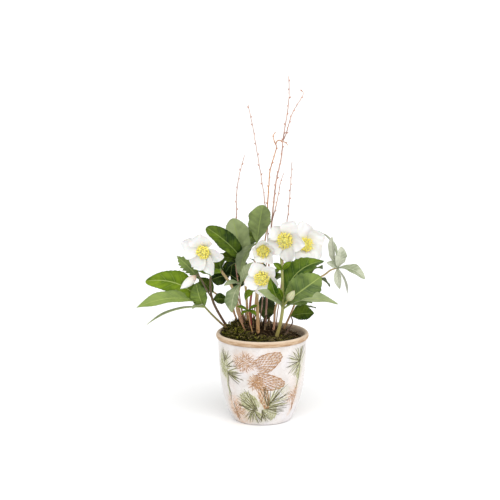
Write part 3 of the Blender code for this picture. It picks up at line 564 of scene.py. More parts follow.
leafFront = {
    "node": "leaf_front", "seed": 9, "blade": "leafGrey", "stalk": "stalkPink", "thick": (1.5, 1.2),
    "path": [(-28, -2, 146), (-37, -8, 168), (-42, -16, 190), (-35, -25, 229)],
    "leaflets": [
        blade((-49, -50, 187), 26, 8, (-0.6, -0.75, 0.3), shade=0.3, grey=0.1),
        blade((-15, -36, 265), 18, 4, (-0.3, -0.8, 0.5)),
        blade((-62, -30, 226), 12, 4, (-0.2, -0.4, 0.9)),
    ]}
makeLeaf("leafFront", leafFront)

leafYoung = {
    "node": "leaf_young", "seed": 10, "blade": "leafBright", "stalk": "stalkTan", "thick": (1.1, 0.9),
    "path": [(-16, -10, 145), (-20, -10, 160), (-23, -11, 181)],
    "leaflets": [
        blade((-41, -20, 190), 8, 2, (0.0, -0.5, 0.9), shade=0.3),
        blade((-8, -22, 192), 8, 2, (0.0, -0.6, 0.8), shade=0.25),
        blade((-10, -22, 176), 9, 3, (0.0, -0.5, 0.9), shade=0.2),
        blade((-34, -26, 178), 8, 2, (-0.1, -0.5, 0.9), shade=0.35),
    ]}
makeLeaf("leafYoung", leafYoung)

leafRound = {
    "node": "leaf_round", "seed": 11, "blade": "leafDeep", "stalk": "stalkTan", "thick": (1.3, 1.1),
    "path": [(-40, 36, 142), (-45, 37, 165), (-50, 35, 184), (-57, 31, 191)],
    "leaflets": [
        blade((-80, 20, 193), 20, 3, (-0.1, -0.9, 0.4), shade=0.1),
    ]}
makeLeaf("leafRound", leafRound)

leafBack = {
    "node": "leaf_back", "seed": 12, "blade": "leafDeep", "stalk": "stalkTan", "thick": (2.1, 1.7),
    "path": [(10, 48, 138), (12, 56, 165), (12, 58, 190), (9, 54, 206)],
    "leaflets": [
        blade((7, 51, 152), 30, 5, (-0.1, -1.0, 0.1), shade=0.0, grey=0.12),
        blade((60, 84, 222), 30, 8, (0.1, 0.2, 1.0)),
        blade((22, 124, 222), 32, 10, (0.0, 0.4, 0.9)),
        blade((-20, 100, 246), 30, 8, (0.0, 0.5, 0.8)),
    ]}
makeLeaf("leafBack", leafBack)

leafRightBack = {
    "node": "leaf_right_back", "seed": 13, "blade": "leafDeep", "stalk": "stalkTan", "thick": (1.9, 1.5),
    "path": [(34, 40, 135), (48, 46, 165), (60, 50, 195), (72, 52, 218)],
    "leaflets": [
        blade((112, 60, 206), 26, 9, (0.1, 0.1, 1.0)),
        blade((100, 92, 230), 28, 9, (0.1, 0.3, 0.9)),
        blade((60, 100, 262), 26, 8, (0.0, 0.5, 0.8)),
    ]}
makeLeaf("leafRightBack", leafRightBack)

leafLowRight = {
    "node": "leaf_low_right", "seed": 14, "blade": "leafDeep", "stalk": "stalkBrown", "thick": (1.3, 1.0),
    "path": [(36, -1, 135), (43, 4, 148), (49, 6, 158), (46, 0, 170)],
    "leaflets": [
        blade((83, -12, 177), 26, 4, (0.0, -0.8, 0.6), shade=0.3, tooth=0.14),
        blade((88, 30, 176), 22, 8, (0.1, 0.1, 1.0)),
    ]}
makeLeaf("leafLowRight", leafLowRight)

sprigRight = {
    "node": "sprig_right", "seed": 15, "blade": "leafPale", "stalk": "stalkPink", "slot": "stalk_brown",
    "thick": (2.0, 1.3),
    "path": [(18, 8, 143), (23, 13, 186), (45, 18, 209), (94, 20, 230), (110, 16, 242), (121, 11, 247)],
    "leaflets": [
        blade((112, 20, 297), 15, 4, (-0.8, -0.5, 0.2), shade=0.75),
        blade((126, -6, 285), 21, 3, (0.3, -0.9, 0.2), shade=0.9),
        blade((165, 0, 231), 20, 9, (0.1, -0.5, 0.9), shade=0.45, grey=0.2),
        blade((124, -12, 217), 13, 5, (-0.3, -0.9, 0.3), shade=0.65),
        blade((138, 14, 204), 7, 4, (0.8, 0.4, 0.3), shade=0.8),
        blade((92, 50, 301), 12, 12, (0.7, -0.2, 0.6)),
        blade((103, -2, 258), 12, 3, (-0.2, -0.8, 0.6)),
    ]}
makeLeaf("sprigRight", sprigRight)

print("leaves made")


# Flowers, their stems and the buds

tepalMats = [tepalFinish("tepalFace", (0.80, 0.795, 0.775), (0.92, 0.86, 0.40), (0.71, 0.70, 0.715)),
             tepalFinish("tepalBack", (0.77, 0.77, 0.74), (0.55, 0.62, 0.30), (0.66, 0.66, 0.64))]
# budSkinGreen is the right bud's own green, made darker as painted shade where the bud sits half hidden
# among bracts
budMats = [tepalFinish("budSkin", (0.83, 0.82, 0.78), (0.56, 0.32, 0.19), (0.62, 0.55, 0.47), 0.5),
           tepalFinish("budSkinGreen", (0.62, 0.60, 0.38), (0.30, 0.34, 0.12), (0.40, 0.38, 0.20), 0.6)]
heartMats = [grainFinish("anther", (0.98, 0.82, 0.07), (1.0, 0.93, 0.26), 600, 0.75, 0.1),
             grainFinish("filament", (0.96, 0.90, 0.30), (1.0, 0.96, 0.50), 300, 0.55, 0.05),
             grainFinish("carpel", (0.84, 0.84, 0.14), (0.95, 0.93, 0.34), 500, 0.5, 0.08),
             grainFinish("nectary", (0.88, 0.82, 0.12), (0.96, 0.90, 0.28), 500, 0.45, 0.08)]
tepalCut = {"along": 22, "across": 16, "thick": 0.4, "root": (4.0, -0.6), "narrowest": 1.8, "breadth": 0.52,
            "spoon": 0.30, "twist": 0.22, "ruffle": 0.035, "pleat": 0.012, "draw": 0.07, "notch": 0.05}
seat = {"low": 2.4, "high": 4.4, "deep": 3, "middle": -1.2}
budCut = {"along": 14, "across": 12, "thick": 0.3, "half": 78, "lap": 0.055}
heart = {"stamens": 96, "anther": (2.0, 0.85), "filament": 0.3, "reach": 15.0, "shorter": 2.4,
         "uneven": (-3.0, 2.0), "foot": (2.0, 0.9, 1.4), "bow": 0.7, "mound": (5.6, 8.4),
         "carpels": {"count": 6, "turn": 0.0, "foot": 0.6, "mat": 2, "thick": (0.9, 1.25, 0.9, 0.4, 0.3),
                     "line": ((1.3, 0), (1.9, 2.5), (1.6, 5), (1.9, 8.2), (2.7, 10.4))},
         "nectaries": {"count": 14, "turn": 0.4, "foot": 0.5, "mat": 3, "thick": (0.5, 0.85, 1.0),
                       "line": ((2.9, 0), (4.6, 1.6), (5.9, 3.9))}}


def bloomFrame(bloom):
    return pointed(place(bloom["centre"]), Vector(bloom["facing"]).normalized())


def addTepal(bm, bloom, number, matrix):
    draw = random.Random(bloom["seed"] * 7 + number)
    radius = bloom["radius"] * mm
    opening, finish = (radians(angle) for angle in bloom["cup"])
    finish += radians(draw.uniform(-7, 7))
    offset, long, wide = bloom["tepals"][number]
    turn = radians(bloom["turn"] + 90 + 72 * number + offset + draw.uniform(-3, 3))
    reach = radius * 1.02 * long * draw.uniform(0.95, 1.02)
    breadth = tepalCut["breadth"] * draw.uniform(0.95, 1.08) * wide
    beat, shift = draw.uniform(2.0, 3.2), draw.uniform(0, 6)
    steps = tepalCut["along"]
    spine = [Vector(tepalCut["root"]) * mm]
    for step in range(steps):
        slope = opening + (finish - opening) * min(1, 1.6 * (step + 0.5) / steps)
        spine.append(spine[-1] + Vector((cos(slope), sin(slope))) * reach / steps)
    before = len(bm.faces)
    corners = flatSheet(bm, steps, tepalCut["across"], True)
    for vert, t, edge in corners:
        radial, height = spine[round(t * steps)]
        half = max(tepalCut["narrowest"] * mm, radius * breadth * sin(pi * (0.05 + 0.89 * t) ** 1.15))
        spoon = half * tepalCut["spoon"] * edge ** 2
        swing = half * tepalCut["twist"] * edge
        rim = ease(0.35, 1.0, max(t, abs(edge)))
        ruffle = radius * tepalCut["ruffle"] * rim * sin(beat * 2 * pi * (t + 0.35 * edge) + shift)
        pleat = radius * tepalCut["pleat"] * cos(edge * 9 + shift) * sin(pi * t)
        radial -= spoon * sin(finish) + radius * tepalCut["draw"] * edge ** 2 * t
        radial -= radius * tepalCut["notch"] * t ** 8 * exp(-(edge * 4) ** 2)
        height += spoon * cos(finish) + swing + ruffle + pleat
        spot = Vector((radial, half * edge, height))
        vert.co = Vector((spot.x * cos(turn) - spot.y * sin(turn),
                          spot.x * sin(turn) + spot.y * cos(turn), spot.z))
    verts = [vert for vert, t, edge in corners]
    for smoothing in range(2):
        bmesh.ops.smooth_vert(bm, verts=verts, factor=0.5, use_axis_x=True, use_axis_y=True, use_axis_z=True)
    bmesh.ops.transform(bm, matrix=matrix, verts=verts)
    thicken(bm, newFaces(bm, before), tepalCut["thick"] * mm, 1)


def makeHeart(name, bloom):
    # green carpels with a ring of nectaries at their foot, and the stamens round them on a low mound
    draw = random.Random(bloom["seed"])
    # a wider flower has a larger heart, but not in proportion
    size = (0.34 + bloom["radius"] / 60) * bloom.get("heart", 1.0)
    matrix = bloomFrame(bloom)
    bm = bmesh.new()
    for ring in (heart["carpels"], heart["nectaries"]):
        for number in range(ring["count"]):
            out = around(2 * pi * (number + ring["turn"]) / ring["count"])
            line = [matrix @ (out * a * mm * size + Vector((0, 0, (ring["foot"] + b * size) * mm)))
                    for a, b in ring["line"]]
            addTube(bm, line, [part * size * mm for part in ring["thick"]], 6, ring["mat"])
    wide, tall = (part * size * mm for part in heart["mound"])
    before = len(bm.faces)
    bmesh.ops.create_uvsphere(bm, u_segments=20, v_segments=8, radius=1.0,
                              matrix=matrix @ Matrix.Diagonal((wide, wide, tall, 1)))
    giveMat(newFaces(bm, before), 1)
    for number in range(heart["stamens"]):
        share = (number + 0.5) / heart["stamens"]
        turn = number * goldenTurn + draw.uniform(-0.1, 0.1)
        lean = radians(bloom["spread"] * (0.10 + 0.96 * sqrt(share)) + draw.uniform(-6, 7))
        reach = size * (heart["reach"] - heart["shorter"] * share + draw.uniform(*heart["uneven"]))
        out = around(turn)
        near, apart, up = heart["foot"]
        root = out * (near + apart * share) * size + Vector((0, 0, up * size))
        way = out * sin(lean) + Vector((0, 0, cos(lean)))
        bow = (root + way * reach * 0.5) - out * heart["bow"] * size
        tip = root + way * reach
        line = [matrix @ (spot * mm) for spot in (root, bow, tip)]
        addTube(bm, line, [heart["filament"] * mm] * 3, 4, 1)
        long, wide = heart["anther"]
        form = matrix @ pointed(tip * mm, way + jolt(draw, 0.5))
        form = form @ Matrix.Diagonal((wide, wide * 1.3, long * 0.62, 1))
        before = len(bm.faces)
        bmesh.ops.create_icosphere(bm, subdivisions=1, radius=1.0 * mm * (0.75 + 0.35 * size), matrix=form)
        giveMat(newFaces(bm, before), 0)
    finishPiece(name + "Stamens", bm, heartMats, [bloom["node"] + "_stamens"])


def makeBloom(name, bloom, buds=()):
    matrix = bloomFrame(bloom)
    bm = bmesh.new()
    bm.loops.layers.uv.new("UVMap")
    for number in range(5):
        addTepal(bm, bloom, number, matrix)
    before = len(bm.faces)
    low, high, deep, middle = (part * mm for part in seat.values())
    bmesh.ops.create_cone(bm, cap_ends=True, segments=20, radius1=low, radius2=high, depth=deep,
                          matrix=matrix @ Matrix.Translation((0, 0, middle)))
    giveMat(newFaces(bm, before), 1)
    finishPiece(name + "Petals", bm, tepalMats, [bloom["node"] + "_petals"], sharp=60)
    makeHeart(name, bloom)
    bm, sheet = leafMesh()
    for number, bract in enumerate(bloom.get("bracts", ())):
        addLeaflet(bm, sheet, bract["base"], bract, bloom["seed"] * 10 + number)
    facing = Vector(bloom["facing"]).normalized()
    centre = Vector(bloom["centre"])
    path = list(bloom["path"]) + [centre - facing * 8, centre - facing * 2]
    addStalk(bm, path, bloom["thick"], 3)
    for bud in buds:
        base = Vector(bud["base"])
        way = (Vector(bud["tip"]) - base).normalized()
        line = smoothPath(bud["path"] + [base - way * 5, base + way * 0.5])
        addTube(bm, line, taper(len(line), bloom["thick"][1] * 0.9, bloom["thick"][1] * 0.8), 8, 3)
    finishPiece(name + "Stem", bm, leafMats["leafBright"] + [stalkMats[bloom["stalk"]]],
                [bloom["node"] + "_stem"], sharp=60)


def makeBud(name, bud, skin):
    # five tepals wrapped round an egg, each lapping over the next
    base, tip = place(bud["base"]), place(bud["tip"])
    length = (tip - base).length
    matrix = pointed(base, tip - base)
    bm = bmesh.new()
    bm.loops.layers.uv.new("UVMap")
    for number in range(5):
        before = len(bm.faces)
        corners = flatSheet(bm, budCut["along"], budCut["across"], True)
        for vert, t, edge in corners:
            swell = sin(pi * min(1, 0.03 + 0.97 * t) ** 0.8) ** 0.75 if t < 1 else 0.04
            lap = 1.0 - budCut["lap"] * number + 0.05 * edge
            angle = radians(72 * 2 * number + budCut["half"] * edge * (1 - 0.25 * t))
            radius = bud["radius"] * mm * swell * lap * (1 - 0.05 * (number % 2))
            rise = length * (t * (0.985 - 0.02 * number) + 0.02 * edge * t)
            vert.co = Vector((radius * cos(angle), radius * sin(angle), rise))
        bmesh.ops.transform(bm, matrix=matrix, verts=[vert for vert, t, edge in corners])
        skinFaces = newFaces(bm, before)
        bmesh.ops.recalc_face_normals(bm, faces=skinFaces)
        thicken(bm, skinFaces, budCut["thick"] * mm, 0)
    finishPiece(name, bm, [skin], [bud["node"]], sharp=60)


budLeft = {"node": "bud_left", "path": [(-81, 10, 196), (-90, -3, 214), (-98, -14, 233)],
           "base": (-107, -28, 241), "tip": (-130, -55, 226), "radius": 7.5}
makeBud("budLeft", budLeft, budMats[0])

budRight = {"node": "bud_right", "path": [(32, -33, 196), (35, -41, 198)],
            "base": (39, -48, 206), "tip": (50, -57, 224), "radius": 6.5}
makeBud("budRight", budRight, budMats[1])

bloom1 = {
    "node": "bloom_1", "seed": 40, "stalk": "stalkBrown", "thick": (2.3, 1.6),
    "path": [(-47, 25, 138), (-62, 22, 154), (-79, 13, 188), (-84, 4, 215), (-83, -4, 245),
             (-82, -12, 268), (-86, -29, 283)],
    "bracts": [
        blade((-138, 5, 268), 22, 4, (0.1, -0.9, 0.5), base=(-98, -14, 231), shade=0.1, tooth=0.4,
              teeth=5, grey=0.25, blunt=1.0, point=0.45),
        blade((-108, -22, 251), 16, 4, (-0.1, -0.7, 0.7), base=(-84, -3, 238), shade=0.45, tooth=0.1),
        blade((-66, -24, 246), 12, 4, (0.1, -0.6, 0.8), base=(-84, -3, 236)),
    ],
    "centre": (-90, -37, 285), "facing": (-0.42, -0.88, -0.22), "turn": -7, "radius": 36, "cup": (55, 8),
    "spread": 44,
    "tepals": ((10, 0.84, 1.0), (8, 1.12, 0.9), (4, 0.95, 0.9), (-2, 1.12, 0.82), (-16, 1.08, 0.7))}
makeBloom("bloom1", bloom1, [budLeft])

bloom2 = {
    "node": "bloom_2", "seed": 41, "stalk": "stalkTan", "thick": (2.0, 1.6),
    "path": [(-8, 8, 149), (-8, 6, 195), (-5, 2, 235), (1, -1, 262), (3, -8, 278)],
    "centre": (1, -20, 282), "facing": (-0.05, -0.98, -0.08), "turn": 0, "radius": 24, "cup": (60, 42),
    "spread": 46, "heart": 1.12,
    "tepals": ((4, 1.22, 0.95), (0, 1.0, 0.9), (0, 1.0, 1.0), (6, 1.2, 0.8), (0, 1.1, 0.85))}
makeBloom("bloom2", bloom2)

bloom3 = {
    "node": "bloom_3", "seed": 42, "stalk": "stalkTan", "thick": (3.1, 2.1),
    "path": [(-7, -9, 141), (-8, -9, 175), (-9, -11, 207), (-8, -20, 232), (-4, -31, 241)],
    "bracts": [
        blade((-28, -34, 204), 14, 6, (-0.3, -0.4, 0.9), base=(-9, -13, 214), shade=0.4),
    ],
    "centre": (0, -44, 243), "facing": (-0.15, -0.97, -0.12), "turn": 34, "radius": 30, "cup": (58, 15),
    "spread": 51, "heart": 1.08,
    "tepals": ((-8, 1.05, 0.9), (0, 1.0, 0.9), (4, 1.0, 0.9), (0, 0.95, 0.9), (-6, 1.0, 0.85))}
makeBloom("bloom3", bloom3)

bloom4 = {
    "node": "bloom_4", "seed": 43, "stalk": "stalkPale", "thick": (3.0, 1.8),
    "path": [(22, -22, 138), (28, -27, 162), (32, -33, 190), (32, -28, 222), (31, -18, 250),
             (30, -4, 275), (34, 2, 293)],
    "bracts": [
        blade((98, -5, 262), 50, 12, (-0.3, -0.5, 0.8), base=(33, -31, 203), shade=0.1, grey=0.05,
              tooth=0.1, teeth=4, bend=10),
        blade((92, -40, 243), 50, 5, (0.1, -0.9, 0.3), base=(33, -33, 197), shade=0.22, grey=0.25,
              tooth=0.12, teeth=5, blunt=0.5, stack=4),
        blade((118, -60, 203), 24, 15, (0.0, -0.4, 0.9), base=(33, -34, 190), shade=0.5, grey=0.85),
        blade((12, -76, 248), 21, 9, (-0.3, -0.9, 0.0), base=(31, -34, 200), shade=0.15),
        blade((-8, -79, 229), 18, 8, (0.0, -0.8, 0.6), base=(31, -34, 193), shade=0.4, grey=0.8),
        blade((25, -52, 228), 9, 2, (-0.2, -0.9, 0.4), base=(32, -33, 205)),
        blade((46, -24, 264), 10, 3, (0.0, -0.8, 0.6), base=(31, -19, 248)),
        blade((17, -26, 262), 10, 3, (0.0, -0.8, 0.6), base=(31, -19, 248)),
    ],
    "centre": (38, -6, 296), "facing": (-0.3, -0.94, 0.05), "turn": -27, "radius": 33, "cup": (50, 6),
    "spread": 52, "heart": 1.1,
    "tepals": ((0, 1.08, 0.92), (0, 0.9, 0.85), (0, 1.0, 0.9), (6, 1.1, 0.85), (0, 1.0, 0.9))}
makeBloom("bloom4", bloom4, [budRight])

bloom5 = {
    "node": "bloom_5", "seed": 44, "stalk": "stalkPale", "thick": (2.0, 1.6),
    "path": [(27, 25, 138), (34, 31, 175), (44, 35, 205), (56, 37, 242), (63, 38, 268)],
    "centre": (68, 27, 281), "facing": (0.22, -0.88, 0.3), "turn": 5, "radius": 36, "cup": (50, 10),
    "spread": 46,
    "tepals": ((0, 1.1, 0.9), (0, 0.95, 0.9), (0, 0.9, 0.9), (0, 0.95, 0.9), (0, 1.0, 0.95))}
makeBloom("bloom5", bloom5)

print("flowers made")


# Twigs

barkGrain = (1, 1, 0.35)  # drawn out along the shoots
barkMats = {
    "red": grainFinish("barkRed", (0.30, 0.14, 0.10), (0.60, 0.38, 0.29), 260, 0.5, 0.3, barkGrain),
    "pale": grainFinish("barkPale", (0.36, 0.19, 0.14), (0.64, 0.44, 0.35), 260, 0.5, 0.3, barkGrain),
    "orange": grainFinish("barkOrange", (0.36, 0.13, 0.04), (0.66, 0.33, 0.13), 260, 0.5, 0.3, barkGrain),
    "bud": grainFinish("twigBud", (0.34, 0.13, 0.07), (0.62, 0.30, 0.18), 500, 0.45, 0.2),
}
# buds sit every so many millimetres, from a share of the shoot onwards; joint is a swelling at every fourth
# point of a shoot
twigCut = {"every": 13, "from": 0.34, "fromOnBranch": 0.15, "long": 3.6, "wide": 0.85, "crook": 0.35,
           "joint": 1.12}


def addTwigBuds(bm, line, thick, draw, first):
    # pointed buds, alternate along the shoot
    walked, side = 0.0, 1
    for index in range(1, len(line) - 1):
        walked += (line[index] - line[index - 1]).length / mm
        if index < first * len(line) or walked < twigCut["every"]:
            continue
        walked = draw.uniform(0, 5)
        side = -side
        way = (line[index + 1] - line[index - 1]).normalized()
        out = Matrix.Rotation(draw.uniform(-0.9, 0.9), 3, way) @ way.cross(Vector((0, 1, 0))).normalized()
        out *= side
        lean = (way * 1.5 + out).normalized()
        size = draw.uniform(0.75, 1.2)
        foot = line[index] + out * thick * 0.4 * mm
        bud = [foot + lean * twigCut["long"] * size * mm * step / 3 for step in range(4)]
        wide = twigCut["wide"] * size
        addTube(bm, bud, [part * mm for part in (0.5, wide, wide * 0.75, 0.12)], 6, 1)


def makeTwig(name, twig, bark):
    draw = random.Random(twig["seed"])
    bm = bmesh.new()
    shoots = [(twig["path"], twig["thick"])]
    tip = twig["thick"][1]
    for branch in twig["branches"]:
        shoots.append((branch, (tip + 0.25, tip * 0.8)))
    for number, (points, thick) in enumerate(shoots):
        foot = Vector(points[0])
        start = [foot - (Vector(points[1]) - foot).normalized() * 8] if number == 0 else []
        line = smoothPath(start + list(points), 7)
        for spot in line[2:-1]:
            spot += jolt(draw, twigCut["crook"]) * mm
        radii = taper(len(line), thick[0], thick[1] * 0.85)
        for index in range(0, len(radii), 4):
            radii[index] *= twigCut["joint"]
        addTube(bm, line, radii, 7)
        addTwigBuds(bm, line, thick[0], draw, twigCut["fromOnBranch" if number else "from"])
    finishPiece(name, bm, [bark, barkMats["bud"]], [twig["node"]])


twigLeft = {
    "node": "twig_left", "seed": 70, "thick": (1.2, 0.6),
    "path": [(-30, 42, 147), (-38, 42, 200), (-44, 42, 262), (-42, 40, 331), (-42, 38, 360),
             (-38, 37, 392), (-29, 35, 427)],
    "branches": []}
makeTwig("twigLeft", twigLeft, barkMats["red"])

twigPale = {
    "node": "twig_pale", "seed": 71, "thick": (1.1, 0.6),
    "path": [(-4, 33, 149), (4, 35, 225), (9, 36, 297), (3, 36, 357), (-5, 34, 410), (-15, 30, 469),
             (-23, 30, 509)],
    "branches": []}
makeTwig("twigPale", twigPale, barkMats["pale"])

twigMain = {
    "node": "twig_main", "seed": 72, "thick": (1.7, 0.6),
    "path": [(5, 25, 146), (9, 28, 220), (13, 30, 289), (19, 30, 358), (23, 30, 390), (30, 28, 423),
             (34, 26, 463), (39, 24, 493), (42, 22, 524), (41, 20, 555)],
    "branches": [
        [(33, 26, 452), (38, 22, 464), (46, 14, 494), (57, 12, 514), (64, 10, 528), (60, 10, 535)],
        [(16, 29, 322), (21, 24, 343), (25, 22, 362), (29, 20, 385), (34, 20, 400)],
    ]}
makeTwig("twigMain", twigMain, barkMats["red"])

twigCurled = {
    "node": "twig_curled", "seed": 73, "thick": (1.2, 0.7),
    "path": [(-16, 46, 145), (-6, 46, 225), (6, 44, 296), (9, 42, 353), (11, 43, 386), (13, 44, 404),
             (22, 45, 436), (20, 42, 447), (17, 40, 457), (21, 40, 464)],
    "branches": [
        [(21, 44, 444), (25, 42, 450), (31, 38, 450), (37, 36, 447), (41, 34, 443)],
    ]}
makeTwig("twigCurled", twigCurled, barkMats["orange"])

twigRight = {
    "node": "twig_right", "seed": 74, "thick": (1.1, 0.6),
    "path": [(22, 38, 139), (31, 45, 215), (37, 49, 286), (43, 50, 340), (45, 50, 366), (47, 50, 391),
             (48, 50, 414)],
    "branches": []}
makeTwig("twigRight", twigRight, barkMats["red"])

print("twigs made")


# Soil and moss

ground = {"level": 131.5, "heap": 20, "centre": (-12, 22), "spread": 34, "radius": 64.8, "crumb": 1.76,
          "rings": 22, "sides": 96, "deep": 10,
          "chips": 560, "chip": (2.2, 5.6), "chipWide": (0.35, 0.8), "chipThick": 0.26, "chipTilt": 0.7,
          "chipBatch": 1200, "fibres": 420, "fibre": (6, 15), "fibreWide": (0.7, 1.5), "wall": 66.2}
mossBed = {"start": 104, "end": 330, "inside": 34, "outside": 64, "height": 6.5, "lumps": 2.6,
           "strands": 2500, "strand": (6, 14), "breadth": (2.2, 4.2), "batch": 70, "dry": 0.42,
           "dryAtLeft": 0.14, "cushion": (90, 16), "sink": 1.4}
strandCut = {"bend": 0.45, "arch": (0.10, 0.34), "notch": 0.38, "crease": 0.35, "sweep": 0.10}
crown = {"stubs": 34, "middle": (-12, 20), "reach": (29, 22), "tall": (9, 30), "thick": (1.7, 0.9),
         "sunk": 3, "splay": 0.35, "stray": 0.2, "bow": 1.5}


def groundHeight(x, y):
    away = (x - ground["centre"][0]) ** 2 + (y - ground["centre"][1]) ** 2
    return ground["level"] + ground["heap"] * exp(-away / (2 * ground["spread"] ** 2))


def onGround(x, y, up):
    return Vector((x, y, groundHeight(x, y) + up))


def flatJolt(draw, most):
    return Vector((draw.uniform(-most, most), draw.uniform(-most, most), 0))


def flatWay(draw):
    return flatJolt(draw, 1).normalized()


def mossHeight(x, y):
    # how far the moss cushion stands above the soil at a place in plan, and 0 where there is none
    angle = degrees(atan2(y, x)) % 360
    along = (angle - mossBed["start"]) / (mossBed["end"] - mossBed["start"])
    across = (hypot(x, y) - mossBed["inside"]) / (mossBed["outside"] - mossBed["inside"])
    if not (0 < along < 1 and 0 < across < 1):
        return 0
    bulge = max(0, sin(pi * across) * sin(pi * along)) ** 0.5
    return bulge * (mossBed["height"] + mossBed["lumps"] * noise.noise(Vector((x, y, 0)) * 0.11))


def soilFinish():
    # near-black peat with a few brighter crumbs
    mat, tree, shader = newMaterial("soil", (0.03, 0.018, 0.012), 0.9, 0.03)
    where = spots(tree)
    grain = cloud(tree, where, 700, 5, 0.7)
    crumbs = addNode(tree, "TexVoronoi", {"Vector": where, "Scale": 260})
    tone = mixColour(tree, fade(tree, grain, 0.35, 0.7), (0.005, 0.003, 0.001), (0.046, 0.026, 0.012))
    bright = fade(tree, crumbs.outputs["Distance"], 0.0, 0.22, 0.7, 0.0)
    tone = mixColour(tree, times(tree, bright, fade(tree, grain, 0.5, 0.62)), tone,
                     (0.17, 0.11, 0.055))
    paint(tree, shader, tone)
    relief(tree, shader, mathNode(tree, "ADD", grain, bright), 1.2, 0.9)
    return mat


def chipFinish():
    # bark, each chip of its own brown
    mat, tree, shader = newMaterial("bark", (0.09, 0.05, 0.03), 0.75, 0.05)
    cells = addNode(tree, "TexVoronoi", {"Vector": spots(tree), "Scale": 150})
    shade = addNode(tree, "SeparateColor", {0: cells.outputs["Color"]}).outputs[0]
    grain = cloud(tree, spots(tree, (1, 0.3, 1)), 900, 3)
    tone = mixColour(tree, fade(tree, shade, 0.25, 1.0), (0.010, 0.006, 0.003), (0.135, 0.070, 0.030))
    tone = mixColour(tree, fade(tree, grain, 0.45, 0.7, 0.0, 0.6), tone, (0.010, 0.006, 0.004))
    paint(tree, shader, tone)
    relief(tree, shader, grain, 0.4)
    return mat


def strandFinish(name, dark, light, dry):
    # tone is how light a strand is along its length, and withered how brown it is
    mat, tree, shader = newMaterial(name, light, 0.8, 0.03)
    tone = attribute(tree, "tone")
    withered = attribute(tree, "withered")
    grain = cloud(tree, spots(tree), 500, 2)
    fresh = mixColour(tree, times(tree, tone, fade(tree, grain, 0.3, 0.6, 0.7, 1.0)), dark, light)
    old = mixColour(tree, tone, [part * 0.12 for part in dry], dry)
    paint(tree, shader, mixColour(tree, withered, fresh, old))
    return mat


def addStrand(bm, foot, way, long, wide, draw, cells, toneAtTip, withered):
    # a creased strip that arches out of the ground, its edges cut like a feather
    tone, brown = (bm.verts.layers.float[layer] for layer in ("tone", "withered"))
    side = Vector((-way.y, way.x, 0)).normalized()
    bend = draw.uniform(-strandCut["bend"], strandCut["bend"])
    arch = draw.uniform(*strandCut["arch"])
    for vert, t, edge in flatSheet(bm, cells, 2):
        cut = 1.0 if round(t * cells) % 2 else strandCut["notch"]
        half = wide / 2 * sin(pi * (0.14 + 0.80 * t)) * cut
        spot = foot + way * long * (t + strandCut["sweep"] * abs(edge))
        spot += side * (half * edge + bend * long * t * t)
        spot.z += long * arch * 4 * t * (1 - 0.75 * t) - strandCut["crease"] * half * abs(edge)
        away = hypot(spot.x, spot.y)
        if away > ground["wall"]:
            spot.x, spot.y = spot.x * ground["wall"] / away, spot.y * ground["wall"] / away
        vert.co = spot * mm
        vert[tone] = toneAtTip * (0.25 + 0.75 * t) * (0.75 + 0.25 * abs(edge))
        vert[brown] = withered


def strandMesh():
    bm = bmesh.new()
    for layer in ("tone", "withered"):
        bm.verts.layers.float.new(layer)
    return bm


def inPlan(draw, angles, radii):
    angle = radians(draw.uniform(*angles))
    away = sqrt(draw.uniform(radii[0] ** 2, radii[1] ** 2))
    return away * cos(angle), away * sin(angle)


def faceUp(bm):
    bmesh.ops.recalc_face_normals(bm, faces=bm.faces[:])
    bm.faces.ensure_lookup_table()
    if bm.faces[0].normal.z < 0:
        bmesh.ops.reverse_faces(bm, faces=bm.faces[:])


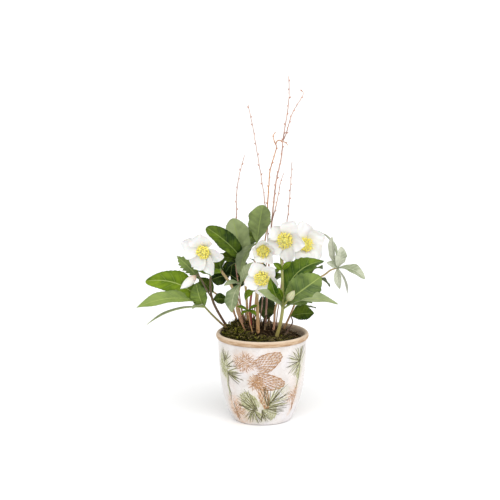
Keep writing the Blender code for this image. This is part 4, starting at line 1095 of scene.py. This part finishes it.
def makeSoil():
    draw = random.Random(5)
    bm = bmesh.new()
    radius, rings = ground["radius"], ground["rings"]
    rim = [bm.verts.new((radius * share / rings * mm, 0, 0)) for share in range(rings + 1)]
    rim.append(bm.verts.new((radius * mm, 0, -0.01)))
    lines = [bm.edges.new(pair) for pair in zip(rim, rim[1:])]
    bmesh.ops.spin(bm, geom=rim + lines, axis=(0, 0, 1), cent=(0, 0, 0), steps=ground["sides"],
                   angle=2 * pi, use_merge=True)
    bmesh.ops.remove_doubles(bm, verts=bm.verts, dist=0.00002)
    for vert in bm.verts:
        x, y = vert.co.x / mm, vert.co.y / mm
        if vert.co.z < -0.005:
            vert.co.z = (ground["level"] - ground["deep"]) * mm
            continue
        rough = noise.fractal(Vector((x, y, 3)) * 0.16, 0.8, 2.1, 4)
        vert.co.z = (groundHeight(x, y) + ground["crumb"] * rough) * mm
    faceUp(bm)
    finishPiece("soilBed", bm, [soilFinish()], ["soil"])
    whole, bm = bmesh.new(), bmesh.new()
    for number in range(ground["chips"]):
        x, y = inPlan(draw, (0, 360), (0, ground["radius"] - 3.5))
        size = draw.uniform(*ground["chip"]) * (0.6 if hypot(x, y) > ground["radius"] - 8 else 1)
        form = Matrix.Translation(place(onGround(x, y, 0.1 * size)))
        form = form @ Matrix.Rotation(draw.uniform(0, 6.3), 4, "Z")
        form = form @ Matrix.Rotation(draw.uniform(-ground["chipTilt"], ground["chipTilt"]), 4, "X")
        wide, thick = draw.uniform(*ground["chipWide"]), ground["chipThick"]
        form = form @ Matrix.Diagonal((size * mm, size * wide * mm, size * thick * mm, 1))
        made = bmesh.ops.create_icosphere(bm, subdivisions=1, radius=0.62, matrix=form)
        for vert in made["verts"]:
            vert.co += jolt(draw, 0.11) * size * mm
        if len(bm.faces) > ground["chipBatch"]:
            gather(whole, bm)
            bm = bmesh.new()
    gather(whole, bm)
    finishPiece("barkChips", whole, [chipFinish()], sharp=20)
    bm = strandMesh()
    for number in range(ground["fibres"]):
        x, y = inPlan(draw, (0, 360), (8, ground["radius"] - 4))
        way = flatWay(draw)
        long, wide = draw.uniform(*ground["fibre"]), draw.uniform(*ground["fibreWide"])
        tone, withered = draw.uniform(0.15, 1.0) ** 2, draw.uniform(0.6, 1.0)
        addStrand(bm, onGround(x, y, 0.6), way, long, wide, draw, 5, tone, withered)
    mat = strandFinish("fibre", (0.012, 0.008, 0.004), (0.10, 0.085, 0.03), (0.42, 0.30, 0.17))
    finishPiece("soilFibres", bm, [mat])


def makeCrown():
    # dry stubs and sheaths of old leaf stalks, standing close round the crown
    draw = random.Random(88)
    bm = bmesh.new()
    for number in range(crown["stubs"]):
        away = sqrt((number + 0.5) / crown["stubs"])
        out = around(number * goldenTurn) * away
        x, y = (middle + reach * part for middle, reach, part in zip(crown["middle"], crown["reach"], out))
        foot = onGround(x, y, -crown["sunk"])
        way = (out * crown["splay"] + flatJolt(draw, crown["stray"]) + Vector((0, 0, 1))).normalized()
        tip = foot + way * (crown["sunk"] + draw.uniform(*crown["tall"]) * (1.1 - 0.65 * away))
        bow = (foot + tip) / 2 + flatJolt(draw, crown["bow"])
        line = smoothPath([foot, bow, tip], 4)
        low, high = (part * draw.uniform(0.7, 1.3) for part in crown["thick"])
        addTube(bm, line, taper(len(line), low, high), 7, number % 2)
    long = (1, 1, 0.3)
    mats = [grainFinish("oldStub", (0.020, 0.013, 0.006), (0.150, 0.090, 0.040), 300, 0.85, 0.4, long),
            grainFinish("dryStub", (0.110, 0.065, 0.030), (0.360, 0.250, 0.120), 300, 0.8, 0.4, long)]
    finishPiece("crownStubs", bm, mats)


def makeMoss():
    draw = random.Random(9)
    whole, bm = strandMesh(), strandMesh()
    made = 0
    # the patch of ground that the fronds may stand on is a little longer and wider than the cushion
    angles = (mossBed["start"] - 5, mossBed["end"] + 8)
    radii = (mossBed["inside"] - 5, mossBed["outside"])
    while made < mossBed["strands"]:
        x, y = inPlan(draw, angles, radii)
        stand = mossHeight(x, y)
        if stand < 0.5 and draw.random() > 0.35:
            continue
        made += 1
        way = flatWay(draw)
        way.z = draw.uniform(-0.05, 0.30)
        leftness = ease(20, -55, x)
        tip = draw.uniform(0.0, 1.0) ** 2.3 * (0.7 + 0.7 * leftness)
        dry = draw.random() < mossBed["dry"] + (mossBed["dryAtLeft"] - mossBed["dry"]) * leftness
        withered = draw.uniform(0.5, 1.0) if dry else draw.uniform(0, 0.2)
        foot = onGround(x, y, stand - 0.6)
        long, wide = draw.uniform(*mossBed["strand"]), draw.uniform(*mossBed["breadth"])
        addStrand(bm, foot, way, long, wide, draw, 8, tip, withered)
        if made % mossBed["batch"] == 0:
            gather(whole, bm)
            bm = strandMesh()
    gather(whole, bm)
    mat = strandFinish("moss", (0.005, 0.005, 0.001), (0.38, 0.37, 0.045), (0.50, 0.36, 0.19))
    finishPiece("mossTufts", whole, [mat])
    bm = bmesh.new()
    for vert, along, edge in flatSheet(bm, *mossBed["cushion"]):
        angle = radians(mossBed["start"] + (mossBed["end"] - mossBed["start"]) * along)
        away = mossBed["inside"] + (mossBed["outside"] - mossBed["inside"]) * (edge + 1) / 2
        x, y = away * cos(angle), away * sin(angle)
        lump = 1.3 * noise.fractal(Vector((x, y, 7)) * 0.22, 0.8, 2.1, 3)
        vert.co = place(onGround(x, y, mossHeight(x, y) * 0.8 + lump - mossBed["sink"]))
    faceUp(bm)
    bmesh.ops.solidify(bm, geom=bm.faces[:], thickness=1.5 * mm)
    mat = grainFinish("mossFoot", (0.006, 0.006, 0.002), (0.045, 0.042, 0.012), 900, 0.95, 1.5)
    finishPiece("mossCushion", bm, [mat], ["moss"])


# Pot

pot = {"height": 144, "rim": 75, "bead": 3.5, "beadDrop": 9.5, "foot": 47, "swell": ((58, 28), (69, 30)),
       "top": 72, "wallTop": 132, "wall": 5, "floor": 8, "steps": 144, "wallSteps": 44, "rimSteps": 18,
       "neck": ((71.9, 133.2), (71.6, 134.2)), "beadArc": (-72, 282),
       "standing": ((9, 1.2), (7.5, 0.0), (2.2, 0.0)), "glazed": (0.5, 134.5), "washed": 131, "waver": 0.25,
       "paintedLightTop": (139.5, 143.5), "paintedLightInside": (69.5, 72.5)}


def potSide(t):
    corners = ((pot["foot"], 0), *pot["swell"], (pot["top"], pot["wallTop"]))
    weights = ((1 - t) ** 3, 3 * t * (1 - t) ** 2, 3 * t * t * (1 - t), t ** 3)
    return (sum(weight * corner[0] for weight, corner in zip(weights, corners)),
            sum(weight * corner[1] for weight, corner in zip(weights, corners)))


potOutline = [potSide(step / 50) for step in range(51)]


def potRadius(height):
    # the outer wall's radius at a height
    for (wide, low), (wider, high) in zip(potOutline, potOutline[1:]):
        if height <= high:
            return wide + (wider - wide) * (height - low) / (high - low)
    return pot["top"]


def wallSpot(turn, height, lift):
    # a place on the outer wall: degrees round from the front, height and lift in millimetres
    out = Vector((sin(radians(turn)), -cos(radians(turn)), 0))
    slope = potRadius(height + 1) - potRadius(height)
    normal = (out - Vector((0, 0, slope))).normalized()
    return (out * potRadius(height) + Vector((0, 0, height)) + normal * lift) * mm


def glazeFinish():
    # a milky glaze with fine cracks and specks, washed with colour round the motifs
    mat, tree, shader = newMaterial("glaze", (0.75, 0.72, 0.70), 0.3)
    shader.inputs["Coat Weight"].default_value = 0.2
    shader.inputs["Coat Roughness"].default_value = 0.15
    where = spots(tree)
    wander = addNode(tree, "TexNoise", {"Vector": where, "Scale": 60.0, "Detail": 3.0}).outputs["Color"]
    bent = mixColour(tree, 0.008, where, wander, "ADD")
    cells = addNode(tree, "TexVoronoi", {"Vector": bent, "Scale": 95.0}, feature="DISTANCE_TO_EDGE")
    crack = fade(tree, cells.outputs["Distance"], 0.0, 0.035, 1.0, 0.0)
    cloudy = cloud(tree, where, 26, 4)
    other = cloud(tree, where, 19, 3)
    tone = mixColour(tree, fade(tree, cloudy, 0.35, 0.65), (0.63, 0.59, 0.565), (0.745, 0.71, 0.69))
    tone = mixColour(tree, fade(tree, other, 0.5, 0.66, 0.0, 0.6), tone, (0.705, 0.685, 0.735))
    tone = mixColour(tree, fade(tree, other, 0.34, 0.46, 0.5, 0.0), tone, (0.76, 0.665, 0.62))
    tone = mixColour(tree, times(tree, crack, 0.28), tone, (0.50, 0.40, 0.34))
    for layer, tint in (("washTan", (0.65, 0.43, 0.27)), ("washGreen", (0.52, 0.50, 0.32))):
        amount = attribute(tree, layer)
        speck = fade(tree, cloud(tree, where, 230, 3), 0.32, 0.62, 0.15, 1.0)
        tone = mixColour(tree, times(tree, amount, speck), tone, tint)
    speck = fade(tree, cloud(tree, where, 800, 1), 0.70, 0.76, 0.0, 0.4)
    tone = mixColour(tree, speck, tone, (0.45, 0.36, 0.30))
    paint(tree, shader, tone)
    tree.links.new(fade(tree, other, 0.3, 0.7, 0.26, 0.4), shader.inputs["Roughness"])
    relief(tree, shader, mathNode(tree, "SUBTRACT", cloudy, crack), 0.3, 0.35)
    return mat


def clayFinish():
    # bare clay in faint bands, with painted light making it paler on top of the rim and inside it
    mat, tree, shader = newMaterial("clay", (0.50, 0.33, 0.20), 0.75)
    where = spots(tree)
    grain = cloud(tree, where, 420, 5, 0.65)
    band = cloud(tree, spots(tree, (0.25, 0.25, 1.4)), 260, 3)
    tone = mixColour(tree, fade(tree, band, 0.35, 0.65), (0.40, 0.245, 0.13), (0.57, 0.41, 0.27))
    tone = mixColour(tree, fade(tree, grain, 0.55, 0.75, 0.0, 0.6), tone, (0.24, 0.13, 0.07))
    tone = mixColour(tree, fade(tree, grain, 0.25, 0.4, 0.5, 0.0), tone, (0.68, 0.54, 0.40))
    height = addNode(tree, "SeparateXYZ", {0: spots(tree)}).outputs[2]
    ring = addNode(tree, "VectorMath", {0: spots(tree, (1, 1, 0))}, operation="LENGTH").outputs["Value"]
    top, inside = ([part * mm for part in pot[key]] for key in ("paintedLightTop", "paintedLightInside"))
    # painted light: paler clay on top of the bead and round its inner side
    pale = (fade(tree, height, *top, 0.0, 0.7), fade(tree, ring, *inside, 0.85, 0.0))
    tone = mixColour(tree, mathNode(tree, "MAXIMUM", *pale), tone, (0.70, 0.58, 0.45))
    paint(tree, shader, tone)
    relief(tree, shader, grain, 0.4)
    return mat


def inkFinish(name, ink):
    # printed ink, patchy where it was pressed thin
    mat, tree, shader = newMaterial(name, ink["full"], 0.4)
    patch = fade(tree, cloud(tree, spots(tree), 260, 3), 0.34, 0.62)
    paint(tree, shader, mixColour(tree, patch, ink["thin"], ink["full"]))
    return mat


# The pot's print: cones and sprigs drawn by rule in one panel, repeated at the back of the pot. A motif has
# its place (degrees from the front, height), its lean (clockwise from upright) and its sizes in millimetres.
panelTurns = (0, 180)
inks = {"tan": {"thin": (0.50, 0.28, 0.13), "full": (0.32, 0.145, 0.05), "needle": 0.9, "lift": 0.15},
        "green": {"thin": (0.50, 0.50, 0.29), "full": (0.33, 0.33, 0.14), "needle": 1.5, "lift": 0.10},
        "dark": {"thin": (0.16, 0.14, 0.06), "full": (0.075, 0.066, 0.024), "needle": 0.82, "lift": 0.20}}


def table(heads, *rows):
    return [dict(zip(heads.split(), row)) for row in rows]


cones = table("at ink lean long wide rows",
    ((7, 111), "tan", 62, 46, 28, 11),
    ((8, 77), "tan", 99, 50, 26, 11),
    ((2, 53), "tan", 168, 38, 15, 8),
    ((-20, 43), "green", -30, 30, 27, 6),
    ((11, 24), "green", 20, 26, 23, 6))
bursts = table("at ink long wide count",
    ((-25, 110), "tan", 46, 38, 84),
    ((-9, 77), "tan", 30, 30, 42),
    ((-61, 99), "green", 34, 48, 60),
    ((-44, 26), "tan", 40, 26, 44),
    ((46, 50), "tan", 20, 22, 14))
fans = table("at ink lean long spread count",
    ((7, 38), "dark", -10, 36, 34, 9),
    ((8, 39), "green", 58, 40, 84, 10),
    ((8, 39), "dark", 60, 46, 86, 15),
    ((-9, 30), "green", -44, 34, 60, 9),
    ((-9, 30), "dark", -48, 40, 62, 12),
    ((-14, 30), "green", 176, 26, 90, 9),
    ((-14, 30), "dark", 184, 28, 96, 13),
    ((0, 28), "dark", 168, 25, 70, 9),
    ((6, 32), "dark", 100, 36, 40, 8),
    ((-53, 87), "green", 92, 28, 70, 7),
    ((-53, 87), "dark", 96, 34, 54, 9),
    ((-55, 96), "dark", 64, 28, 44, 5),
    ((-59, 104), "dark", 12, 25, 90, 9),
    ((-48, 8), "tan", -6, 40, 34, 12),
    ((57, 105), "green", -50, 28, 220, 12),
    ((57, 105), "dark", -58, 34, 200, 18),
    ((58, 94), "green", 216, 24, 60, 8))
stems = table("at ink lean long width sway",
    ((-54, 92), "dark", 176, 52, 1.3, 2.2),
    ((-55, 84), "green", 178, 36, 2.4, 2.0),
    ((57, 102), "green", 190, 40, 3.4, 1.2),
    ((59, 98), "dark", 191, 38, 1.0, 1.6),
    ((54, 66), "tan", 183, 44, 1.5, 1.6),
    ((51, 62), "tan", 180, 36, 1.0, 2.0),
    ((-12, 27), "dark", -72, 29, 1.8, 1.3),
    ((-49, 36), "dark", 168, 26, 0.9, 1.3))
washes = [
    ("washTan", (7, 111), 62, 50, 31, 0.34), ("washTan", (8, 77), 99, 52, 27, 0.36),
    ("washTan", (-25, 110), 90, 46, 38, 0.55), ("washTan", (-9, 77), 0, 28, 26, 0.55),
    ("washTan", (2, 52), -12, 38, 18, 0.9), ("washGreen", (-20, 42), -30, 40, 32, 0.85),
    ("washGreen", (11, 24), 20, 34, 28, 0.7), ("washGreen", (-8, 18), 90, 50, 26, 0.55),
    ("washGreen", (-2, 33), 0, 36, 30, 0.7),
    ("washGreen", (24, 54), 60, 42, 30, 0.5), ("washGreen", (-60, 100), 0, 50, 40, 0.8),
    ("washGreen", (-44, 88), 90, 30, 22, 0.45), ("washGreen", (58, 88), 10, 50, 16, 0.7),
    ("washGreen", (54, 106), 0, 40, 44, 0.45), ("washTan", (52, 44), 4, 60, 13, 0.65),
    ("washTan", (-42, 26), -20, 54, 40, 0.85), ("washTan", (45, 50), 20, 32, 30, 0.5),
]
# lines and strokes in millimetres; scale is the breadth of a cone's scale
printCut = {"line": 0.72, "thick": 0.3, "cells": 5, "scale": 4.4, "dash": (2.6, 6.0), "low": 2, "high": 129}
needleCut = {"reach": (0.72, 1.0), "bend": 0.16, "root": (1.5, 2.5), "weight": (0.8, 1.2)}
stemCut = {"stretches": 4, "bow": 1.2, "weight": (0.8, 1.15)}


def addStroke(bm, spot, points, width, even=False):
    # one pen stroke on the wall: a curve from the first point to the last, drawn by the middle one
    turn, height, lift = spot
    start, middle, end = points
    for vert, t, edge in flatSheet(bm, printCut["cells"], 1):
        along = start * (1 - t) ** 2 + middle * 2 * t * (1 - t) + end * t * t
        way = start * (t - 1) + middle * (1 - 2 * t) + end * t
        way = way.normalized() if way.length > 0.001 else Vector((1, 0))
        swell = 1.0 if even else 0.25 + 0.75 * sin(pi * min(1, t + 0.05)) ** 0.6
        flat = along + Vector((-way.y, way.x)) * (width / 2 * swell * edge)
        tall = min(printCut["high"], max(printCut["low"], height + flat.y))
        vert.co = wallSpot(turn + degrees(flat.x / potRadius(tall)), tall, lift)


def leaning(lean, right, up):
    # a place given across and along a motif that leans from upright, as right and up on the wall
    angle = radians(lean)
    return Vector((up * sin(angle) + right * cos(angle), up * cos(angle) - right * sin(angle)))


def coneHalf(cone, share):
    return cone["wide"] / 2 * sin(pi * (0.14 + 0.78 * share) ** 0.9) ** 0.75


coneArc = ((-0.5, 0), (0.05, 1.8), (0.5, 0))  # the edge of a scale, and the tick at its middle
coneTick = ((0.0, 0.3), (0.06, 0.6), (0.0, 0.9))


def drawCone(bm, spot, cone, draw):
    lean, long, wide = cone["lean"], cone["long"], cone["wide"]
    rows = cone["rows"]
    for row in range(rows):
        share = (row + 0.5) / rows
        half = coneHalf(cone, share)
        count = max(2, round(2 * half / printCut["scale"]))
        gap = 2 * half / count
        for number in range(count + row % 2):
            right = -half + gap * (number + (0.0 if row % 2 else 0.5)) + draw.uniform(-0.3, 0.3)
            up = (share - 0.55) * long - 1.1 * right * right / wide * share
            tip = long / rows * draw.uniform(1.5, 2.0)
            for form, width in ((coneArc, 1.0), (coneTick, 1.25)):
                points = [leaning(lean, right + a * gap, up + b * tip) for a, b in form]
                addStroke(bm, spot, points, printCut["line"] * width)
    for side in (-1, 1):
        rim = [(side * coneHalf(cone, step / 8), (step / 8 - 0.5) * long) for step in range(9)]
        rim.append((0, 0.54 * long))
        for ends in zip(rim, rim[1:]):
            start, end = (leaning(lean, *corner) for corner in ends)
            addStroke(bm, spot, (start, (start + end) / 2, end), printCut["line"] * 1.4, True)


def drawBurst(bm, spot, burst, draw):
    # short crossing strokes that point outwards from the motif's heart
    for number in range(burst["count"]):
        angle = number * goldenTurn
        away = sqrt((number + 0.5) / burst["count"])
        middle = Vector((cos(angle) * burst["long"], sin(angle) * burst["wide"])) * away * 0.40
        way = (middle.normalized() + Vector((draw.uniform(-0.6, 0.6), draw.uniform(-0.6, 0.6)))).normalized()
        half = draw.uniform(*printCut["dash"])
        bow = Vector((-way.y, way.x)) * draw.uniform(-1.2, 1.2)
        addStroke(bm, spot, (middle - way * half, middle + bow, middle + way * half),
                  inks[burst["ink"]]["needle"])


def drawFan(bm, spot, fan, draw):
    for number in range(fan["count"]):
        angle = fan["lean"] + fan["spread"] * ((number + draw.uniform(0.2, 0.8)) / fan["count"] - 0.5)
        reach = fan["long"] * draw.uniform(*needleCut["reach"])
        bend = draw.uniform(-needleCut["bend"], needleCut["bend"]) * reach
        root = leaning(fan["lean"], *(draw.uniform(-most, most) for most in needleCut["root"]))
        ends = (root + leaning(angle, bend, reach * 0.5), root + leaning(angle, bend * 0.4, reach))
        width = inks[fan["ink"]]["needle"] * draw.uniform(*needleCut["weight"])
        addStroke(bm, spot, (root, *ends), width)


def drawStem(bm, spot, stem, draw):
    # stretches end to end, each swinging a little to one side
    sway, count = stem["sway"], stemCut["stretches"]
    joints = [leaning(stem["lean"], draw.uniform(-sway, sway), stem["long"] * step / count)
              for step in range(count + 1)]
    for start, end in zip(joints, joints[1:]):
        bow = (start + end) / 2 + Vector((draw.uniform(-stemCut["bow"], stemCut["bow"]), 0))
        addStroke(bm, spot, (start, bow, end), stem["width"] * draw.uniform(*stemCut["weight"]), True)


def makePrint():
    draw = random.Random(21)
    prints = {name: bmesh.new() for name in inks}
    kinds = ((drawCone, cones), (drawBurst, bursts), (drawFan, fans), (drawStem, stems))
    for centre in panelTurns:
        for drawMotif, motifs in kinds:
            for motif in motifs:
                part = bmesh.new()
                turn, height = motif["at"]
                drawMotif(part, (centre + turn, height, inks[motif["ink"]]["lift"]), motif, draw)
                bmesh.ops.recalc_face_normals(part, faces=part.faces[:])
                outside = part.faces[:]
                for face in outside:
                    if face.normal.dot(Vector((*face.calc_center_median().xy, 0))) < 0:
                        face.normal_flip()
                bmesh.ops.solidify(part, geom=outside, thickness=printCut["thick"] * mm)
                gather(prints[motif["ink"]], part)
    for name, bm in prints.items():
        finishPiece(name + "Print", bm, [inkFinish(name + "Ink", inks[name])])


def washAt(turn, height, radius, layer):
    # how much colour lies washed on the glaze at a place, from the motifs of every panel
    most = 0.0
    for centre in panelTurns:
        for kind, (middle, level), lean, long, wide, power in washes:
            if kind != layer:
                continue
            right = radians((turn - centre - middle + 180) % 360 - 180) * radius
            along = leaning(lean, 0, 1)
            a = right * along.x + (height - level) * along.y
            b = right * along.y - (height - level) * along.x
            away = sqrt((2 * a / long) ** 2 + (2 * b / wide) ** 2)
            most = max(most, (1 - ease(0.65, 1.3, away)) * power)
    return most


def makePot():
    bm = bmesh.new()
    # from the foot ring up the outside, over the rim's bead and down the inside to the floor
    wallSteps, rimSteps = pot["wallSteps"], pot["rimSteps"]
    outer = [potSide(0.015 + 0.985 * (step / wallSteps)) for step in range(wallSteps + 1)]
    bead = (pot["rim"] - pot["bead"], pot["height"] - pot["beadDrop"] / 2)
    rim = []
    for step in range(rimSteps + 1):
        angle = radians(pot["beadArc"][0] + pot["beadArc"][1] * step / rimSteps)
        rim.append((bead[0] + pot["bead"] * cos(angle), bead[1] + pot["beadDrop"] / 2 * sin(angle)))
    inner = [(potSide(t)[0] - pot["wall"], potSide(t)[1]) for t in (0.97, 0.88, 0.7, 0.5, 0.35, 0.22, 0.17)]
    floor = [(inner[-1][0] - 3, inner[-1][1] - 4), (inner[-1][0] - 8, pot["floor"]), (0, pot["floor"])]
    foot = [(0, pot["standing"][0][1])] + [(pot["foot"] - inset, low) for inset, low in pot["standing"]]
    profile = foot + outer + list(pot["neck"]) + rim + inner + floor
    verts = [bm.verts.new((radius * mm, 0, height * mm)) for radius, height in profile]
    lines = [bm.edges.new(pair) for pair in zip(verts, verts[1:])]
    bmesh.ops.spin(bm, geom=verts + lines, axis=(0, 0, 1), cent=(0, 0, 0), steps=pot["steps"],
                   angle=2 * pi, use_merge=True)
    bmesh.ops.remove_doubles(bm, verts=bm.verts, dist=0.00002)
    bmesh.ops.recalc_face_normals(bm, faces=bm.faces[:])
    layers = {layer: bm.verts.layers.float.new(layer) for layer in ("washTan", "washGreen")}
    for vert in bm.verts:
        x, y, z = vert.co / mm
        if z > 1:
            waver = noise.noise(Vector((x, y, z)) * 0.02) * pot["waver"] * mm
            vert.co += Vector((x, y, 0)).normalized() * waver
        radius = hypot(x, y)
        if radius > potRadius(min(z, pot["washed"])) - 2 and z < pot["washed"]:
            turn = degrees(atan2(x, -y))
            for layer, mark in layers.items():
                vert[mark] = washAt(turn, z, radius, layer)
    for face in bm.faces:
        middle = face.calc_center_median() / mm
        inside = hypot(middle.x, middle.y) < potRadius(min(middle.z, pot["washed"])) - 1.5
        low, high = pot["glazed"]
        face.material_index = 0 if low <= middle.z <= high and not inside else 1
    finishPiece("glazedPot", bm, [glazeFinish(), clayFinish()], ["pot"], sharp=50)


# Floor, light and camera

studio = {"floor": 60, "world": 0.82, "soft": 60, "lamps": {"key": (1.55, (0.05, -0.80, 1.0)),
                                                           "fill": (0.5, (0.9, -0.6, 0.5))}}
view = {"aim": (-20.1, 0, 278.4), "away": 2400, "down": 10.4, "lens": 107.7, "sensor": 36}


def makeStage():
    bm = bmesh.new()
    bmesh.ops.create_circle(bm, cap_ends=True, segments=64, radius=studio["floor"])
    mesh = bpy.data.meshes.new("floor")
    bm.to_mesh(mesh)
    bm.free()
    mesh.materials.append(newMaterial("floorPaint", (0.95, 0.95, 0.95), 0.9)[0])
    floor = addObject("floor", mesh)
    world = bpy.data.worlds.new("studio")
    world.use_nodes = True
    sky = world.node_tree.nodes["Background"]
    sky.inputs["Color"].default_value = (1, 1, 1, 1)
    sky.inputs["Strength"].default_value = studio["world"]
    bpy.context.scene.world = world
    for name, (power, toward) in studio["lamps"].items():
        lamp = bpy.data.lights.new(name, "SUN")
        lamp.energy = power
        lamp.angle = radians(studio["soft"])
        addObject(name, lamp).rotation_euler = Vector(toward).to_track_quat("Z", "Y").to_euler()
    camera = addObject("camera", bpy.data.cameras.new("camera"))
    camera.data.lens = view["lens"]
    camera.data.sensor_width = view["sensor"]
    camera.data.clip_end = 200
    down = radians(view["down"])
    back = Vector((0, -cos(down), sin(down))) * view["away"]
    camera.location = place(Vector(view["aim"]) + back)
    camera.rotation_euler = (pi / 2 - down, 0, 0)
    bpy.context.scene.camera = camera
    bpy.context.scene.view_settings.view_transform = "Standard"


makeSoil()
makeCrown()
makeMoss()
print("soil and moss made")
makePot()
makePrint()
print("pot made")
makeStage()
